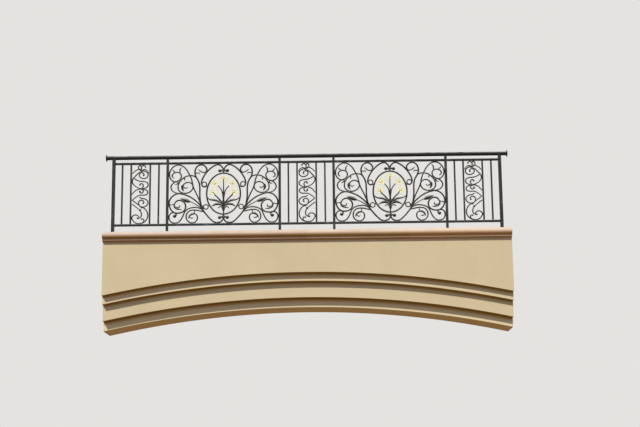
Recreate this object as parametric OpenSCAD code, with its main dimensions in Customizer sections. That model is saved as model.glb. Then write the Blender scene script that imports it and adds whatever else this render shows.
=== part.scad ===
// A wrought iron balcony front: a scrolled railing on a moulded stone coping,
// carried by an edge beam with a stepped arch and a floor slab behind it.
// The front faces -Y, +X is to the right and +Z is up. All sizes are millimetres.
// The origin is the middle of the slab's back face, which meets the building.

/* [Balcony] */
// Clear width between the two side walls
clear_w = 4840; // [4400:10:5400]
// Distance from the building to the middle of the railing
reach = 1100; // [900:10:1400]
// Thickness of the floor slab
slab_t = 180; // [120:5:240]
// Thickness of the paving on the slab
paving_t = 20; // [10:1:40]

/* [Coping] */
// Height of the half round nose
nose_h = 90; // [60:2:120]
// Height of the flat fillet below the nose
fillet_h = 12; // [6:1:24]
// Height of the cove below the fillet
cove_h = 16; // [8:1:24]
// Height of the cove's lower lip
cove_lip = 2; // [1:0.5:6]
// How far the nose reaches in front of the railing
nose_out = 190; // [175:5:230]
// How far the fillet stands in front of the beam's face
fillet_out = 38; // [28:2:44]
// How far the coping reaches behind the railing
coping_back = 150; // [80:5:200]

/* [Arched beam] */
// Distance from the railing forward to the face of the beam
face_out = 120; // [90:5:130]
// How far the upper and the middle arch band each step back
step_in = 60; // [30:1:80]
// How far the lower arch band steps back from the middle one
last_step = 76; // [30:1:100]
// Depth of the soffit under the lowest band
soffit_d = 460; // [250:10:500]
// Height of the plain face above the crown of the arch
face_h = 386; // [200:2:600]
// Height of the upper band
upper_h = 96; // [40:2:160]
// Height of the middle band
middle_h = 186; // [80:2:260]
// Height of the lower band
lower_h = 108; // [50:2:200]
// Rise of the arch from its ends to its crown
arch_rise = 262; // [120:2:420]

/* [Railing] */
// Height of the top of the handrail above the coping
rail_h = 960; // [900:5:1100]
// Diameter of the handrail
rail_d = 48; // [36:1:60]
// Distance from a side wall to the middle of the end post
end_gap = 95; // [70:5:140]
// Width of a narrow bay between its post centres
narrow_w = 650; // [560:10:760]
// Side of the end posts
end_post = 38; // [30:1:50]
// Side of the inner posts
inner_post = 30; // [22:1:40]
// Distance from the middle of the handrail down to the middle of the top rail
rail_drop = 73; // [60:1:120]
// Height of the middle of the bottom rail above the coping
low_rail_z = 107; // [60:1:160]
// Height of both flat rails
flat_h = 28; // [16:1:36]
// Depth of both flat rails
flat_d = 26; // [18:1:34]

/* [Wall flanges] */
// How far the round flange reaches past the handrail all round
flange_rim = 17; // [14:1:26]
// Thickness of the flange
flange_t = 8; // [5:1:12]
// Diameter of the screw holes
hole_d = 6; // [4:0.5:7]

/* [Bars and scrolls] */
// Side of the plain upright bars
bar = 20; // [12:1:24]
// Distance between the two bars that hold a narrow panel
panel_w = 230; // [190:5:270]
// Distance between the two plain bars of a narrow bay
plain_gap = 440; // [380:5:500]
// Face width of the oval and of the bars that frame it
frame_w = 17; // [12:0.5:20]
// Face width of the other scroll bars in a wide panel
scroll_w = 15; // [10:0.5:17]
// Face width of a scroll bar in a narrow panel
thin_w = 13.5; // [9:0.5:15]
// Depth of a scroll bar
scroll_d = 16; // [10:1:20]

/* [Flowers] */
// Diameter of a flower
flower_d = 102; // [70:2:104]
// Thickness of the petals
petal_t = 4; // [3:0.5:6]

/* [Hidden] */

// Levels
beam_top = slab_t / 2;
coping_top = beam_top + cove_h + fillet_h + nose_h;
handrail_z = coping_top + rail_h - rail_d / 2;
panel_z = coping_top + low_rail_z + flat_h / 2;
top_rail_z = rail_h - rail_d / 2 - rail_drop;
panel_h = top_rail_z - low_rail_z - flat_h;
crown_z = beam_top - face_h;

// Depths, with the railing's middle plane at rail_y
rail_y = -reach;
beam_y = rail_y - face_out;
lower_back = 2 * step_in + last_step;
beam_back = beam_y + lower_back + soffit_d;

// The lower edge of the lowest band, and the centre that all bands share
arch_half = clear_w / 2;
arch_drop = upper_h + middle_h + lower_h;
arch_r = (arch_half * arch_half + arch_rise * arch_rise) / (2 * arch_rise);
arch_z = crown_z - arch_drop - arch_r;
arch_steps = 60;

// Bays: narrow, wide, narrow, wide, narrow
wide_w = (clear_w - 2 * end_gap - 3 * narrow_w) / 2;
post_x = [
    -arch_half + end_gap,
    -narrow_w / 2 - wide_w,
    -narrow_w / 2,
    narrow_w / 2,
    narrow_w / 2 + wide_w,
    arch_half - end_gap
];
post_side = [end_post, inner_post, inner_post, inner_post, inner_post, end_post];

// Clearance between the round handrail and a post's saddle
seat_gap = 0.3;
// Coping stones in the row
stone_count = 4;
// Round surfaces, and the largest turn between two straight bits of a scroll
fine = 96;
turn = 15;
// How much of a scroll's round edge is flat where it is welded to its frame
weld = 0.8;
// How far bars run into each other where they are welded together
knit = 0.3;
// Half the width of a leaf at its ends
leaf_tip = 2;

// Curves of the right half of a wide panel, drawn from the middle of the
// bottom rail's top. The left half is their mirror image.
oval_mid = [0, 362];
oval_half = [203, 253];
frame_bar = [
    [-46, 68], [-24, 76], [0, 56], [24, 22], [62, 6], [106, 11], [156, 50], [208, 108],
    [244, 158], [264, 208], [278, 265], [286, 350], [286, 430], [292, 485], [306, 525],
    [330, 565], [344, 605], [344, 650], [322, 698], [272, 722], [222, 700], [204, 655],
    [222, 628], [250, 626]
];
frame_leaf = [[244, 622], [275, 640], [308, 668]];
frame_bud = [[344, 628], [322, 618], [300, 622], [290, 606]];
top_arc = [
    [-46, 646], [-22, 646], [0, 662], [24, 698], [62, 722], [104, 713], [150, 684],
    [194, 641], [228, 596], [254, 548], [266, 506], [262, 472], [244, 451], [216, 449],
    [192, 460]
];
straight_stem = [
    [272, 220], [292, 285], [320, 350], [346, 402], [367, 455], [380, 515], [394, 562],
    [418, 612], [446, 660], [484, 700], [526, 720], [566, 721], [612, 696], [644, 652],
    [654, 603], [644, 558], [614, 524], [576, 514], [540, 530], [514, 562], [514, 602],
    [540, 627], [580, 631], [612, 612], [620, 580], [600, 560]
];
top_leaf = [[506, 694], [528, 662], [526, 628], [512, 596]];
top_bud = [[616, 668], [600, 644], [572, 634]];
upper_curl = [
    [330, 562], [352, 580], [385, 588], [430, 586], [474, 568], [512, 534], [540, 492],
    [549, 450], [540, 408], [510, 382], [462, 371], [414, 382], [380, 412], [368, 452],
    [384, 488], [424, 506], [466, 494], [490, 462], [486, 424]
];
upper_leaf = [[494, 480], [498, 432], [474, 394]];
upper_eye = [[488, 470], [470, 440], [448, 434], [434, 452]];
upper_bud = [[484, 560], [470, 545], [476, 528]];
side_curl = [
    [548, 520], [590, 508], [622, 480], [634, 446], [622, 410], [592, 384], [552, 374]
];
side_bud = [[550, 519], [564, 486], [590, 480]];
big_scroll = [
    [266, 204], [302, 246], [346, 286], [394, 320], [440, 343], [490, 360], [540, 368],
    [592, 352], [636, 310], [654, 262], [650, 218], [630, 168], [592, 134], [546, 127],
    [498, 138], [466, 166], [455, 210], [468, 250], [498, 276], [534, 285], [570, 270],
    [588, 238]
];
big_leaf = [[592, 244], [584, 200], [548, 178], [500, 173]];
big_tail = [[652, 232], [616, 232], [588, 246]];
big_eye = [[586, 214], [562, 199], [540, 197], [526, 210], [536, 226]];
leaf_stem = [[255, 182], [306, 214], [346, 238], [384, 258], [408, 270]];
dark_leaf = [[396, 262], [450, 282], [520, 308]];
low_scroll = [
    [260, 172], [302, 190], [348, 196], [394, 189], [432, 174], [464, 144], [480, 106],
    [500, 62], [528, 26], [562, 7], [600, 7], [634, 24], [652, 62], [650, 100], [630, 126],
    [600, 134], [574, 122], [568, 102], [586, 90]
];
low_curl = [
    [240, 142], [284, 152], [328, 161], [366, 163], [404, 155], [434, 130], [447, 94],
    [444, 54], [420, 22], [384, 6], [346, 12], [320, 38], [312, 72], [324, 104], [352, 118]
];
low_leaf = [[330, 112], [372, 116], [408, 92], [416, 54]];
low_eye = [[410, 88], [396, 70], [376, 64], [360, 74]];
low_link = [[352, 162], [347, 138], [352, 114]];
frame_curves = [frame_bar, top_arc, big_scroll];
curl_curves = [straight_stem, upper_curl, side_curl, low_scroll, low_curl];
wide_curves = concat(frame_curves, curl_curves);
panel_rings = [[233, 479], [212, 200]];
ring_ties = [
    [panel_rings[0], [266, 486]],
    [panel_rings[1], [262, 203]],
    [panel_rings[1], [159, 221]]
];
panel_balls = [frame_bar[0], top_arc[0], low_scroll[len(low_scroll) - 1]];
stem_knot = [258, 190];
oval_collars = [[0, 76], [0, 650]];
oval_links = [[50, 110], [614, 662]];

// Middles of the flowers, how far each leans outwards, and the curves of the
// right half of a spray
flower_spots = [[0, 548], [107, 485], [127, 380]];
flower_leans = [0, 9, 180];
spray_rise = [[0, 100], [0, 300], flower_spots[0]];
spray_trunk = [[0, 172], [0, 240], [0, 310]];
spray_curves = [
    [[2, 290], [10, 345], [19, 393], [44, 434], [76, 466], flower_spots[1]],
    [[0, 150], [8, 178], [28, 196], [50, 198], [63, 184]]
];
flower_stem = [[0, 215], [14, 246], [40, 280], [74, 316], [108, 350], flower_spots[2]];
upper_leaves = [[0, 222], [60, 267], [112, 282], [160, 290], [204, 331]];
lower_leaves = [[0, 196], [30, 226], [70, 236], [108, 226], [146, 200]];

// Curves of a narrow panel, drawn from the middle of the bottom rail's top
narrow_joints = [[-24, 658], [-14, 432], [-20, 206], [2, 172]];
narrow_curves = [
    [[-24, 658], [-8, 676], [-12, 706], [-34, 722], [-58, 708]],
    [[-24, 658], [6, 664], [28, 688], [24, 714], [4, 722]],
    [[-22, 662], [14, 676], [52, 664], [102, 622]],
    [[-24, 662], [-52, 672], [-82, 656], [-102, 626]],
    [
        [-24, 658], [-62, 646], [-94, 612], [-86, 578], [-54, 560], [-12, 566], [15, 592],
        [10, 622], [-18, 632], [-42, 612], [-36, 592]
    ],
    [
        [-20, 650], [22, 632], [62, 594], [96, 556], [102, 512], [76, 474], [38, 450],
        [-14, 432]
    ],
    [[88, 568], [46, 540], [2, 526], [-46, 522], [-92, 500], [-92, 464], [-58, 440], [-14, 432]],
    [[-14, 432], [-34, 462], [-26, 492], [0, 494], [10, 474]],
    [[-14, 432], [-48, 426], [-92, 396], [-86, 366], [-44, 354], [6, 354], [54, 330], [100, 292]],
    [[100, 292], [58, 262], [14, 230], [-20, 206]],
    [[-14, 432], [34, 426], [70, 404], [102, 364]],
    [[-14, 432], [-36, 408], [-22, 382], [6, 388], [12, 408]],
    [
        [8, 330], [-16, 314], [-54, 308], [-90, 284], [-98, 252], [-78, 222], [-38, 208],
        [4, 220], [20, 252], [8, 284], [-24, 290], [-46, 268], [-36, 248]
    ],
    [[102, 244], [62, 216], [28, 190], [2, 172]],
    [
        [-20, 206], [-62, 184], [-90, 142], [-98, 96], [-84, 54], [-48, 20], [0, 6],
        [50, 12], [88, 44], [102, 76], [88, 100], [54, 112], [22, 98], [14, 76], [30, 66]
    ],
    [[2, 172], [-14, 138], [-19, 104], [-4, 78], [18, 68]],
    [[-28, 14], [-48, 34], [-42, 60], [-22, 62]]
];
narrow_balls = [
    [-38, 600], [4, 484], [6, 400], [-38, 254], [31, 70], [-22, 60], [-60, 704], [2, 718]
];

// Unit vector along v
function unit(v) = v / norm(v);

// Direction of a smooth curve through the points p at an inner point i
function inner_way(p, i) =
    let(a = p[i] - p[i - 1], b = p[i + 1] - p[i], da = norm(a), db = norm(b))
    unit(a * db / da + b * da / db);

// Direction m mirrored about the chord c, as at the two ends of an arc
function across(c, m) = 2 * (c * m) * c - m;

// Direction of the curve at any point i
function way(p, i) =
    let(n = len(p) - 1)
    n == 1 ? unit(p[1] - p[0]) :
    i == 0 ? across(unit(p[1] - p[0]), inner_way(p, 1)) :
    i == n ? across(unit(p[n] - p[n - 1]), inner_way(p, n - 1)) :
    inner_way(p, i);

// Angle between two unit vectors
function between(a, b) = acos(max(-1, min(1, a * b)));

// A point at the share t of a piece of the curve from a to b, whose ends run
// along u and v. It is a true arc where both ends turn alike.
function on_piece(a, b, u, v, t) =
    let(
        bend = max(0.01, between(u, v)),
        pull = norm(b - a) * 2 * tan(bend / 4) / sin(bend / 2),
        h = t * t * (3 - 2 * t)
    )
    a + h * (b - a) + t * (1 - t) * pull * ((1 - t) * u - t * v);

// All points of the smooth curve through p, with at least so many per piece
function curve(p, least = 1) = [
    for (i = [0:len(p) - 2])
        let(
            u = way(p, i),
            v = way(p, i + 1),
            c = unit(p[i + 1] - p[i]),
            steps = max(least, ceil((between(u, c) + between(c, v)) / turn))
        )
        for (k = [0:steps - 1]) on_piece(p[i], p[i + 1], u, v, k / steps),
    p[len(p) - 1]
];

// Vector across the curve's points c at point i
function side(c, i) =
    let(
        a = c[max(0, i - 1)],
        b = c[min(len(c) - 1, i + 1)],
        d = unit(b - a)
    )
    [-d[1], d[0]];

// A strip along the points c, with half widths w
module strip(c, w) {
    for (i = [0:len(c) - 2])
        polygon([
            c[i] + side(c, i) * w[i],
            c[i + 1] + side(c, i + 1) * w[i + 1],
            c[i + 1] - side(c, i + 1) * w[i + 1],
            c[i] - side(c, i) * w[i]
        ]);
}

// How drawn curves fill an opening of width w and the panels' height, with bars
// of face width bar_w: scale across, lowest drawn point, its place and scale up
function fit_into(w, bar_w, curves) =
    let(
        far = max([for (c = curves) for (q = c) abs(q[0])]),
        low = min([for (c = curves) for (q = c) q[1]]),
        high = max([for (c = curves) for (q = c) q[1]]),
        edge = bar_w / 2 - weld
    )
    [(w / 2 - edge) / far, low, edge, (panel_h - 2 * edge) / (high - low)];

// How the curves of a wide panel are set into it
function wide_fit() = fit_into(wide_w - inner_post, scroll_w, wide_curves);

// A drawn point set into its opening
function spot(q, fit) = [q[0] * fit[0], fit[2] + (q[1] - fit[1]) * fit[3]];

// A scroll bar of face width w along the curve through p, drawn out at its tip
module scroll(p, fit, w, tip = 0.7) {
    c = curve([for (q = p) spot(q, fit)]);
    n = len(c) - 1;
    strip(c, [for (i = [0:n]) w / 2 * (i > n - 4 ? 1 - (1 - tip) * (i - n + 4) / 4 : 1)]);
}

// A leaf of width w along the curve through p, widest before its middle
module leaf(p, fit, w) {
    c = curve([for (q = p) spot(q, fit)], 4);
    n = len(c) - 1;
    strip(c, [for (i = [0:n]) leaf_tip + (w / 2 - leaf_tip) * pow(sin(180 * pow(i / n, 0.8)), 0.8)]);
}

// A ring of bar of face width w
module ring_2d(at, fit, r, w) {
    translate(spot(at, fit))
        difference() {
            circle(r = r + w / 2, $fn = 32);
            circle(r = r - w / 2, $fn = 28);
        }
}

// A short tie from the ring around at to a drawn point on its neighbour
module tie_2d(at, to, fit, r, w) {
    a = spot(at, fit);
    b = spot(to, fit);
    strip([a + r * unit(b - a), b], [w / 2, w / 2]);
}

// A forged ball end
module ball_2d(at, fit, r) {
    translate(spot(at, fit)) circle(r = r, $fn = 18);
}

// The drawing fused into one outline, stood up in the railing's plane
module forged(x) {
    translate([x, rail_y + scroll_d / 2, panel_z])
        rotate([90, 0, 0])
            linear_extrude(scroll_d)
                offset(delta = -knit)
                    offset(delta = knit)
                        children();
}

// Both mirrored halves of a drawing
module both() {
    children();
    mirror([1, 0]) children();
}

// The oval of a wide panel, grown by g
module oval_2d(fit, g) {
    mid = spot(oval_mid, fit);
    polygon([
        for (a = [0:7.5:352.5])
            mid + [
                (oval_half[0] * fit[0] + g) * cos(a),
                (oval_half[1] * fit[3] + g) * sin(a)
            ]
    ]);
}

// The opening of width w that holds a panel between its rails and uprights
module opening_2d(w) {
    translate([-w / 2, 0]) square([w, panel_h]);
}

// A short upright link in the middle of a panel
module link_2d(low, high, fit, w) {
    a = spot([0, low], fit);
    b = spot([0, high], fit);
    translate([-w / 2, a[1]]) square([w, b[1] - a[1]]);
}

module wide_half_2d(fit) {
    ring_r = 1.7 * scroll_w;
    ring_w = 0.8 * scroll_w;
    for (p = frame_curves)
        scroll(p, fit, frame_w);
    for (p = curl_curves)
        scroll(p, fit, scroll_w);
    for (p = [leaf_stem, low_link, big_tail, frame_bud])
        scroll(p, fit, 0.75 * scroll_w);
    for (p = [frame_leaf, top_leaf, top_bud, upper_eye, upper_bud, side_bud, big_eye, low_eye])
        leaf(p, fit, scroll_w);
    for (p = [upper_leaf, big_leaf, low_leaf])
        leaf(p, fit, 1.6 * scroll_w);
    leaf(dark_leaf, fit, 2.8 * scroll_w);
    for (at = panel_rings)
        ring_2d(at, fit, ring_r, ring_w);
    for (t = ring_ties)
        tie_2d(t[0], t[1], fit, ring_r, ring_w);
    for (at = panel_balls)
        ball_2d(at, fit, 1.1 * scroll_w);
    ball_2d(stem_knot, fit, 1.3 * scroll_w);
}

module wide_panel(x) {
    fit = wide_fit();
    color("#34383a")
        forged(x)
            intersection() {
                opening_2d(wide_w - inner_post);
                union() {
                    both() wide_half_2d(fit);
                    difference() {
                        oval_2d(fit, frame_w / 2);
                        oval_2d(fit, -frame_w / 2);
                    }
                    for (z = oval_links)
                        link_2d(z[0], z[1], fit, scroll_w);
                    for (at = oval_collars)
                        translate(spot(at, fit))
                            square([2.4 * scroll_w, 1.8 * scroll_w], center = true);
                }
            }
}

// The stems and leaves that carry the flowers inside the oval
module spray(x) {
    fit = wide_fit();
    color("#34383a")
        forged(x)
            intersection() {
                oval_2d(fit, -frame_w / 2);
                union() {
                    scroll(spray_rise, fit, 0.9 * scroll_w);
                    leaf(spray_trunk, fit, 2.6 * scroll_w);
                    both() {
                        for (p = spray_curves)
                            scroll(p, fit, 0.75 * scroll_w);
                        scroll(flower_stem, fit, 1.1 * scroll_w);
                        leaf(upper_leaves, fit, 1.5 * scroll_w);
                        leaf(lower_leaves, fit, 1.8 * scroll_w);
                    }
                }
            }
}

// Outline of five pointed petals, widest beyond their middle
module petals_2d() {
    r = flower_d / 2;
    circle(r = 0.24 * r, $fn = 40);
    for (a = [0:72:288])
        rotate([0, 0, a])
            polygon(r * [
                [-0.09, 0.1], [-0.23, 0.58], [-0.21, 0.7], [-0.05, 1],
                [0.05, 1], [0.21, 0.7], [0.23, 0.58], [0.09, 0.1]
            ]);
}

// One cupped flower with a round centre, its back on the stem's front
module flower(lean) {
    r = flower_d / 2;
    rotate([90, lean, 0]) {
        intersection() {
            linear_extrude(r) petals_2d();
            rotate_extrude($fn = fine)
                polygon([
                    [0, 0], [r * 0.3, 0], [r * 0.75, r * 0.1], [r * 1.1, r * 0.3],
                    [r * 1.1, r * 0.3 + petal_t], [r * 0.7, r * 0.1 + petal_t],
                    [r * 0.25, petal_t], [0, petal_t]
                ]);
        }
        translate([0, 0, petal_t])
            intersection() {
                sphere(r = r * 0.2, $fn = 48);
                cylinder(r = r, h = r, $fn = 48);
            }
    }
}

// The flowers of one spray, mirrored about its middle stem
module flowers(x) {
    fit = wide_fit();
    color("#d9c56c")
        translate([x, rail_y - scroll_d / 2, panel_z])
            for (s = [-1, 1])
                for (i = [0:len(flower_spots) - 1])
                    let(q = flower_spots[i], at = spot([s * q[0], q[1]], fit))
                        if (s > 0 || q[0] > 0)
                            translate([at[0], 0, at[1]]) flower(s * flower_leans[i]);
}

// A narrow panel of small scrolls, mirrored where hand is 1
module narrow_panel(x, hand) {
    w = panel_w - bar;
    fit = fit_into(w, thin_w, narrow_curves);
    color("#34383a")
        forged(x)
            intersection() {
                opening_2d(w);
                mirror([hand, 0])
                    union() {
                        for (p = narrow_curves)
                            scroll(p, fit, thin_w);
                        for (at = narrow_joints)
                            ball_2d(at, fit, thin_w);
                        for (at = narrow_balls)
                            ball_2d(at, fit, 0.75 * thin_w);
                    }
            }
}

// The upright bars of a narrow bay: two plain ones and two at the panel
module bay_bars(x) {
    color("#3a3e40")
        for (gap = [panel_w, plain_gap])
            for (s = [-1, 1])
                translate([x + s * gap / 2 - bar / 2, rail_y - bar / 2, panel_z])
                    cube([bar, bar, panel_h]);
}

// A flat rail of bay i, with its middle z above the coping
module flat_rail(i, z) {
    a = post_x[i] + post_side[i] / 2;
    b = post_x[i + 1] - post_side[i + 1] / 2;
    color("#2f3335")
        translate([a, rail_y - flat_d / 2, coping_top + z - flat_h / 2])
            cube([b - a, flat_d, flat_h]);
}

// A post with a saddle under the round handrail
module post(i) {
    s = post_side[i];
    color("#2b2f31")
        difference() {
            translate([post_x[i] - s / 2, rail_y - s / 2, coping_top])
                cube([s, s, handrail_z - coping_top]);
            translate([post_x[i] - s, rail_y, handrail_z])
                rotate([0, 90, 0])
                    cylinder(r = rail_d / 2 + seat_gap, h = 2 * s, $fn = fine);
        }
}

module handrail() {
    length = clear_w - 2 * flange_t;
    color("#26292b")
        translate([-length / 2, rail_y, handrail_z])
            rotate([0, 90, 0])
                cylinder(d = rail_d, h = length, $fn = fine);
}

// The round wall flange at side s, with four screw holes in its rim
module wall_flange(s) {
    flange_d = rail_d + 2 * flange_rim;
    hole_r = (rail_d + flange_rim) / 2;
    color("#26292b")
        translate([s * (arch_half - flange_t / 2), rail_y, handrail_z])
            rotate([0, 90, 0])
                difference() {
                    cylinder(d = flange_d, h = flange_t, center = true, $fn = fine);
                    for (a = [45:90:315])
                        rotate([0, 0, a])
                            translate([hole_r, 0, 0])
                                cylinder(d = hole_d, h = 2 * flange_t, center = true, $fn = 32);
                }
}

// Section of the coping: nose, fillet and cove, seen along +X
module coping_2d() {
    nose_r = nose_h / 2;
    front = -nose_out;
    drop = nose_h + fillet_h;
    fillet_y = -face_out - fillet_out;
    translate([rail_y, coping_top]) {
        translate([front + nose_r, -nose_r]) circle(r = nose_r, $fn = fine);
        translate([front + nose_r, -nose_h]) square([coping_back - front - nose_r, nose_h]);
        translate([fillet_y, -drop]) square([coping_back - fillet_y, fillet_h + nose_r / 4]);
        translate([fillet_y, -drop - cove_h])
            difference() {
                square([coping_back - fillet_y, cove_h]);
                circle(r = cove_h - cove_lip, $fn = fine);
            }
    }
}

// One stone of the coping, counted from the left
module coping_stone(i) {
    stone_w = clear_w / stone_count;
    color("#d8b9a2")
        translate([-clear_w / 2 + i * stone_w, 0, 0])
            rotate([90, 0, 90])
                linear_extrude(stone_w) coping_2d();
}

// Points along the arc of radius r, from the left side to the right
function arc_points(r) = [
    for (i = [0:arch_steps])
        let(x = -arch_half + clear_w * i / arch_steps)
        [x, arch_z + sqrt(r * r - x * x)]
];

// The same points from the right side back to the left
function back_along(p) = [for (i = [len(p) - 1:-1:0]) p[i]];

// An outline of the beam, from y0 to its back
module beam_block(y0, outline) {
    translate([0, beam_back, 0])
        rotate([90, 0, 0])
            linear_extrude(beam_back - y0)
                polygon(outline);
}

// The band between two arcs, set back behind the beam's face
module arch_band(back, r_out, r_in) {
    beam_block(beam_y + back, concat(arc_points(r_in), back_along(arc_points(r_out))));
}

module beam_face() {
    color("#d6c294")
        beam_block(
            beam_y,
            concat(
                arc_points(arch_r + arch_drop),
                [[arch_half, beam_top], [-arch_half, beam_top]]
            )
        );
}

module upper_arch_band() {
    color("#dcc89c") arch_band(step_in, arch_r + arch_drop, arch_r + middle_h + lower_h);
}

module middle_arch_band() {
    color("#d6c294") arch_band(2 * step_in, arch_r + middle_h + lower_h, arch_r + lower_h);
}

module lower_arch_band() {
    color("#dcc89c") arch_band(lower_back, arch_r + lower_h, arch_r);
}

module floor_slab() {
    color("#b9b2a4")
        translate([-clear_w / 2, beam_back, -slab_t / 2])
            cube([clear_w, -beam_back, slab_t]);
}

module floor_paving() {
    y0 = rail_y + coping_back;
    color("#b39a7c")
        translate([-clear_w / 2, y0, beam_top])
            cube([clear_w, -y0, paving_t]);
}

wide_x = (narrow_w + wide_w) / 2;
side_x = narrow_w + wide_w;

floor_slab();
floor_paving();
beam_face();
upper_arch_band();
middle_arch_band();
lower_arch_band();
for (i = [0:stone_count - 1])
    coping_stone(i);
handrail();
wall_flange(-1);  // left_wall_flange
wall_flange(1);  // right_wall_flange
for (i = [0:5])
    post(i);
for (i = [0:4]) {
    flat_rail(i, top_rail_z);
    flat_rail(i, low_rail_z);
}
bay_bars(-side_x);  // left_bay_bars
bay_bars(0);  // centre_bay_bars
bay_bars(side_x);  // right_bay_bars
narrow_panel(-side_x, 1);  // left_narrow_panel
narrow_panel(0, 0);  // centre_narrow_panel
narrow_panel(side_x, 0);  // right_narrow_panel
wide_panel(-wide_x);  // left_wide_panel
wide_panel(wide_x);  // right_wide_panel
spray(-wide_x);  // left_spray
spray(wide_x);  // right_spray
flowers(-wide_x);  // left_flowers
flowers(wide_x);  // right_flowers
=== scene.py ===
"""Looks of a wrought iron balcony: a scrolled railing with gilded flowers on a
moulded sandstone coping, above a rendered beam with a stepped arch.

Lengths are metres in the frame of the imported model: the front faces -Y, +X is
to the right and +Z is up. The origin is the middle of the slab's back face.
"""

import logging
import math
import random
from collections.abc import Callable, Iterable, Sequence
from dataclasses import dataclass
from enum import Enum

import bmesh
import bpy
from mathutils import Matrix, Vector


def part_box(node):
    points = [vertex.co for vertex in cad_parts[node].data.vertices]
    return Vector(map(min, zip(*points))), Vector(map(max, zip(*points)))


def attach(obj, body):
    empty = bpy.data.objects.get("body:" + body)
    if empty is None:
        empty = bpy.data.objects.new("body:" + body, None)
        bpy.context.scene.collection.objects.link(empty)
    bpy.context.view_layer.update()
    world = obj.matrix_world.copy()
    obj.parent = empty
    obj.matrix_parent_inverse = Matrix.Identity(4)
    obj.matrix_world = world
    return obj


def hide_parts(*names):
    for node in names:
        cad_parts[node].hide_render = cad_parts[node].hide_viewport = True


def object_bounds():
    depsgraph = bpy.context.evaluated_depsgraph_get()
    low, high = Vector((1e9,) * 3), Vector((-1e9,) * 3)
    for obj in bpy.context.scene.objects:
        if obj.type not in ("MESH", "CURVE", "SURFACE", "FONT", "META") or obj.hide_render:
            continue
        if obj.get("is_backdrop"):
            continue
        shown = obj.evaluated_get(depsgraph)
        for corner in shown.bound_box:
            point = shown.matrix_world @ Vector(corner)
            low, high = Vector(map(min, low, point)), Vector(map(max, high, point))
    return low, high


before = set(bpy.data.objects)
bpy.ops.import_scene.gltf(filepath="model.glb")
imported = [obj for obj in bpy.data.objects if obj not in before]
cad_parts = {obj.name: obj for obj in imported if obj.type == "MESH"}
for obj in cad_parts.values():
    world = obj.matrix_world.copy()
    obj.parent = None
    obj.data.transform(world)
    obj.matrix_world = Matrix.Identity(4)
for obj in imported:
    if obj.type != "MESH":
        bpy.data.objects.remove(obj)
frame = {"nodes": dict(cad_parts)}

CAD_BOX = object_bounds()
LOG = logging.getLogger("balcony")

Point = Sequence[float]
Line = list[Vector]
Ring = list[tuple[float, float, float]]
Put = Callable[[Vector, float], tuple[float, float, float]]
Colour = tuple[float, float, float]
Socket = bpy.types.NodeSocket
Paths = Sequence[Sequence[Point]]
Sockets = bpy.types.bpy_prop_collection
Results = dict[str, Socket]


def around(count: int, start: float = 0.0, wide: float = 1.0, high: float = 1.0) -> Line:
    """Points all round a circle or an oval.

    Args:
        count: how many points, in equal steps.
        start: the first point's angle in degrees.
        wide: its radius along X.
        high: its radius along Y.

    Returns:
        The points.
    """
    turns = [math.radians(start + 360 / count * k) for k in range(count)]
    return [Vector((wide * math.cos(a), high * math.sin(a))) for a in turns]


def stand(name: str, data: bpy.types.ID) -> bpy.types.Object:
    """A new object in the scene.

    Args:
        name: the object's name.
        data: what it shows, such as a mesh or a lamp.

    Returns:
        The object.
    """
    thing = bpy.data.objects.new(name, data)
    bpy.context.scene.collection.objects.link(thing)
    return thing


class Slot(Enum):
    """Names of the balcony's material slots, which no code here stores."""

    IRON = "forged_iron"
    HANDRAIL = "handrail_iron"
    GOLD = "flower_gold"
    COPING = "coping_stone"
    STUCCO = "stucco"
    BAND = "band_stucco"
    SLAB = "slab_concrete"
    PAVING = "paving"


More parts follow.
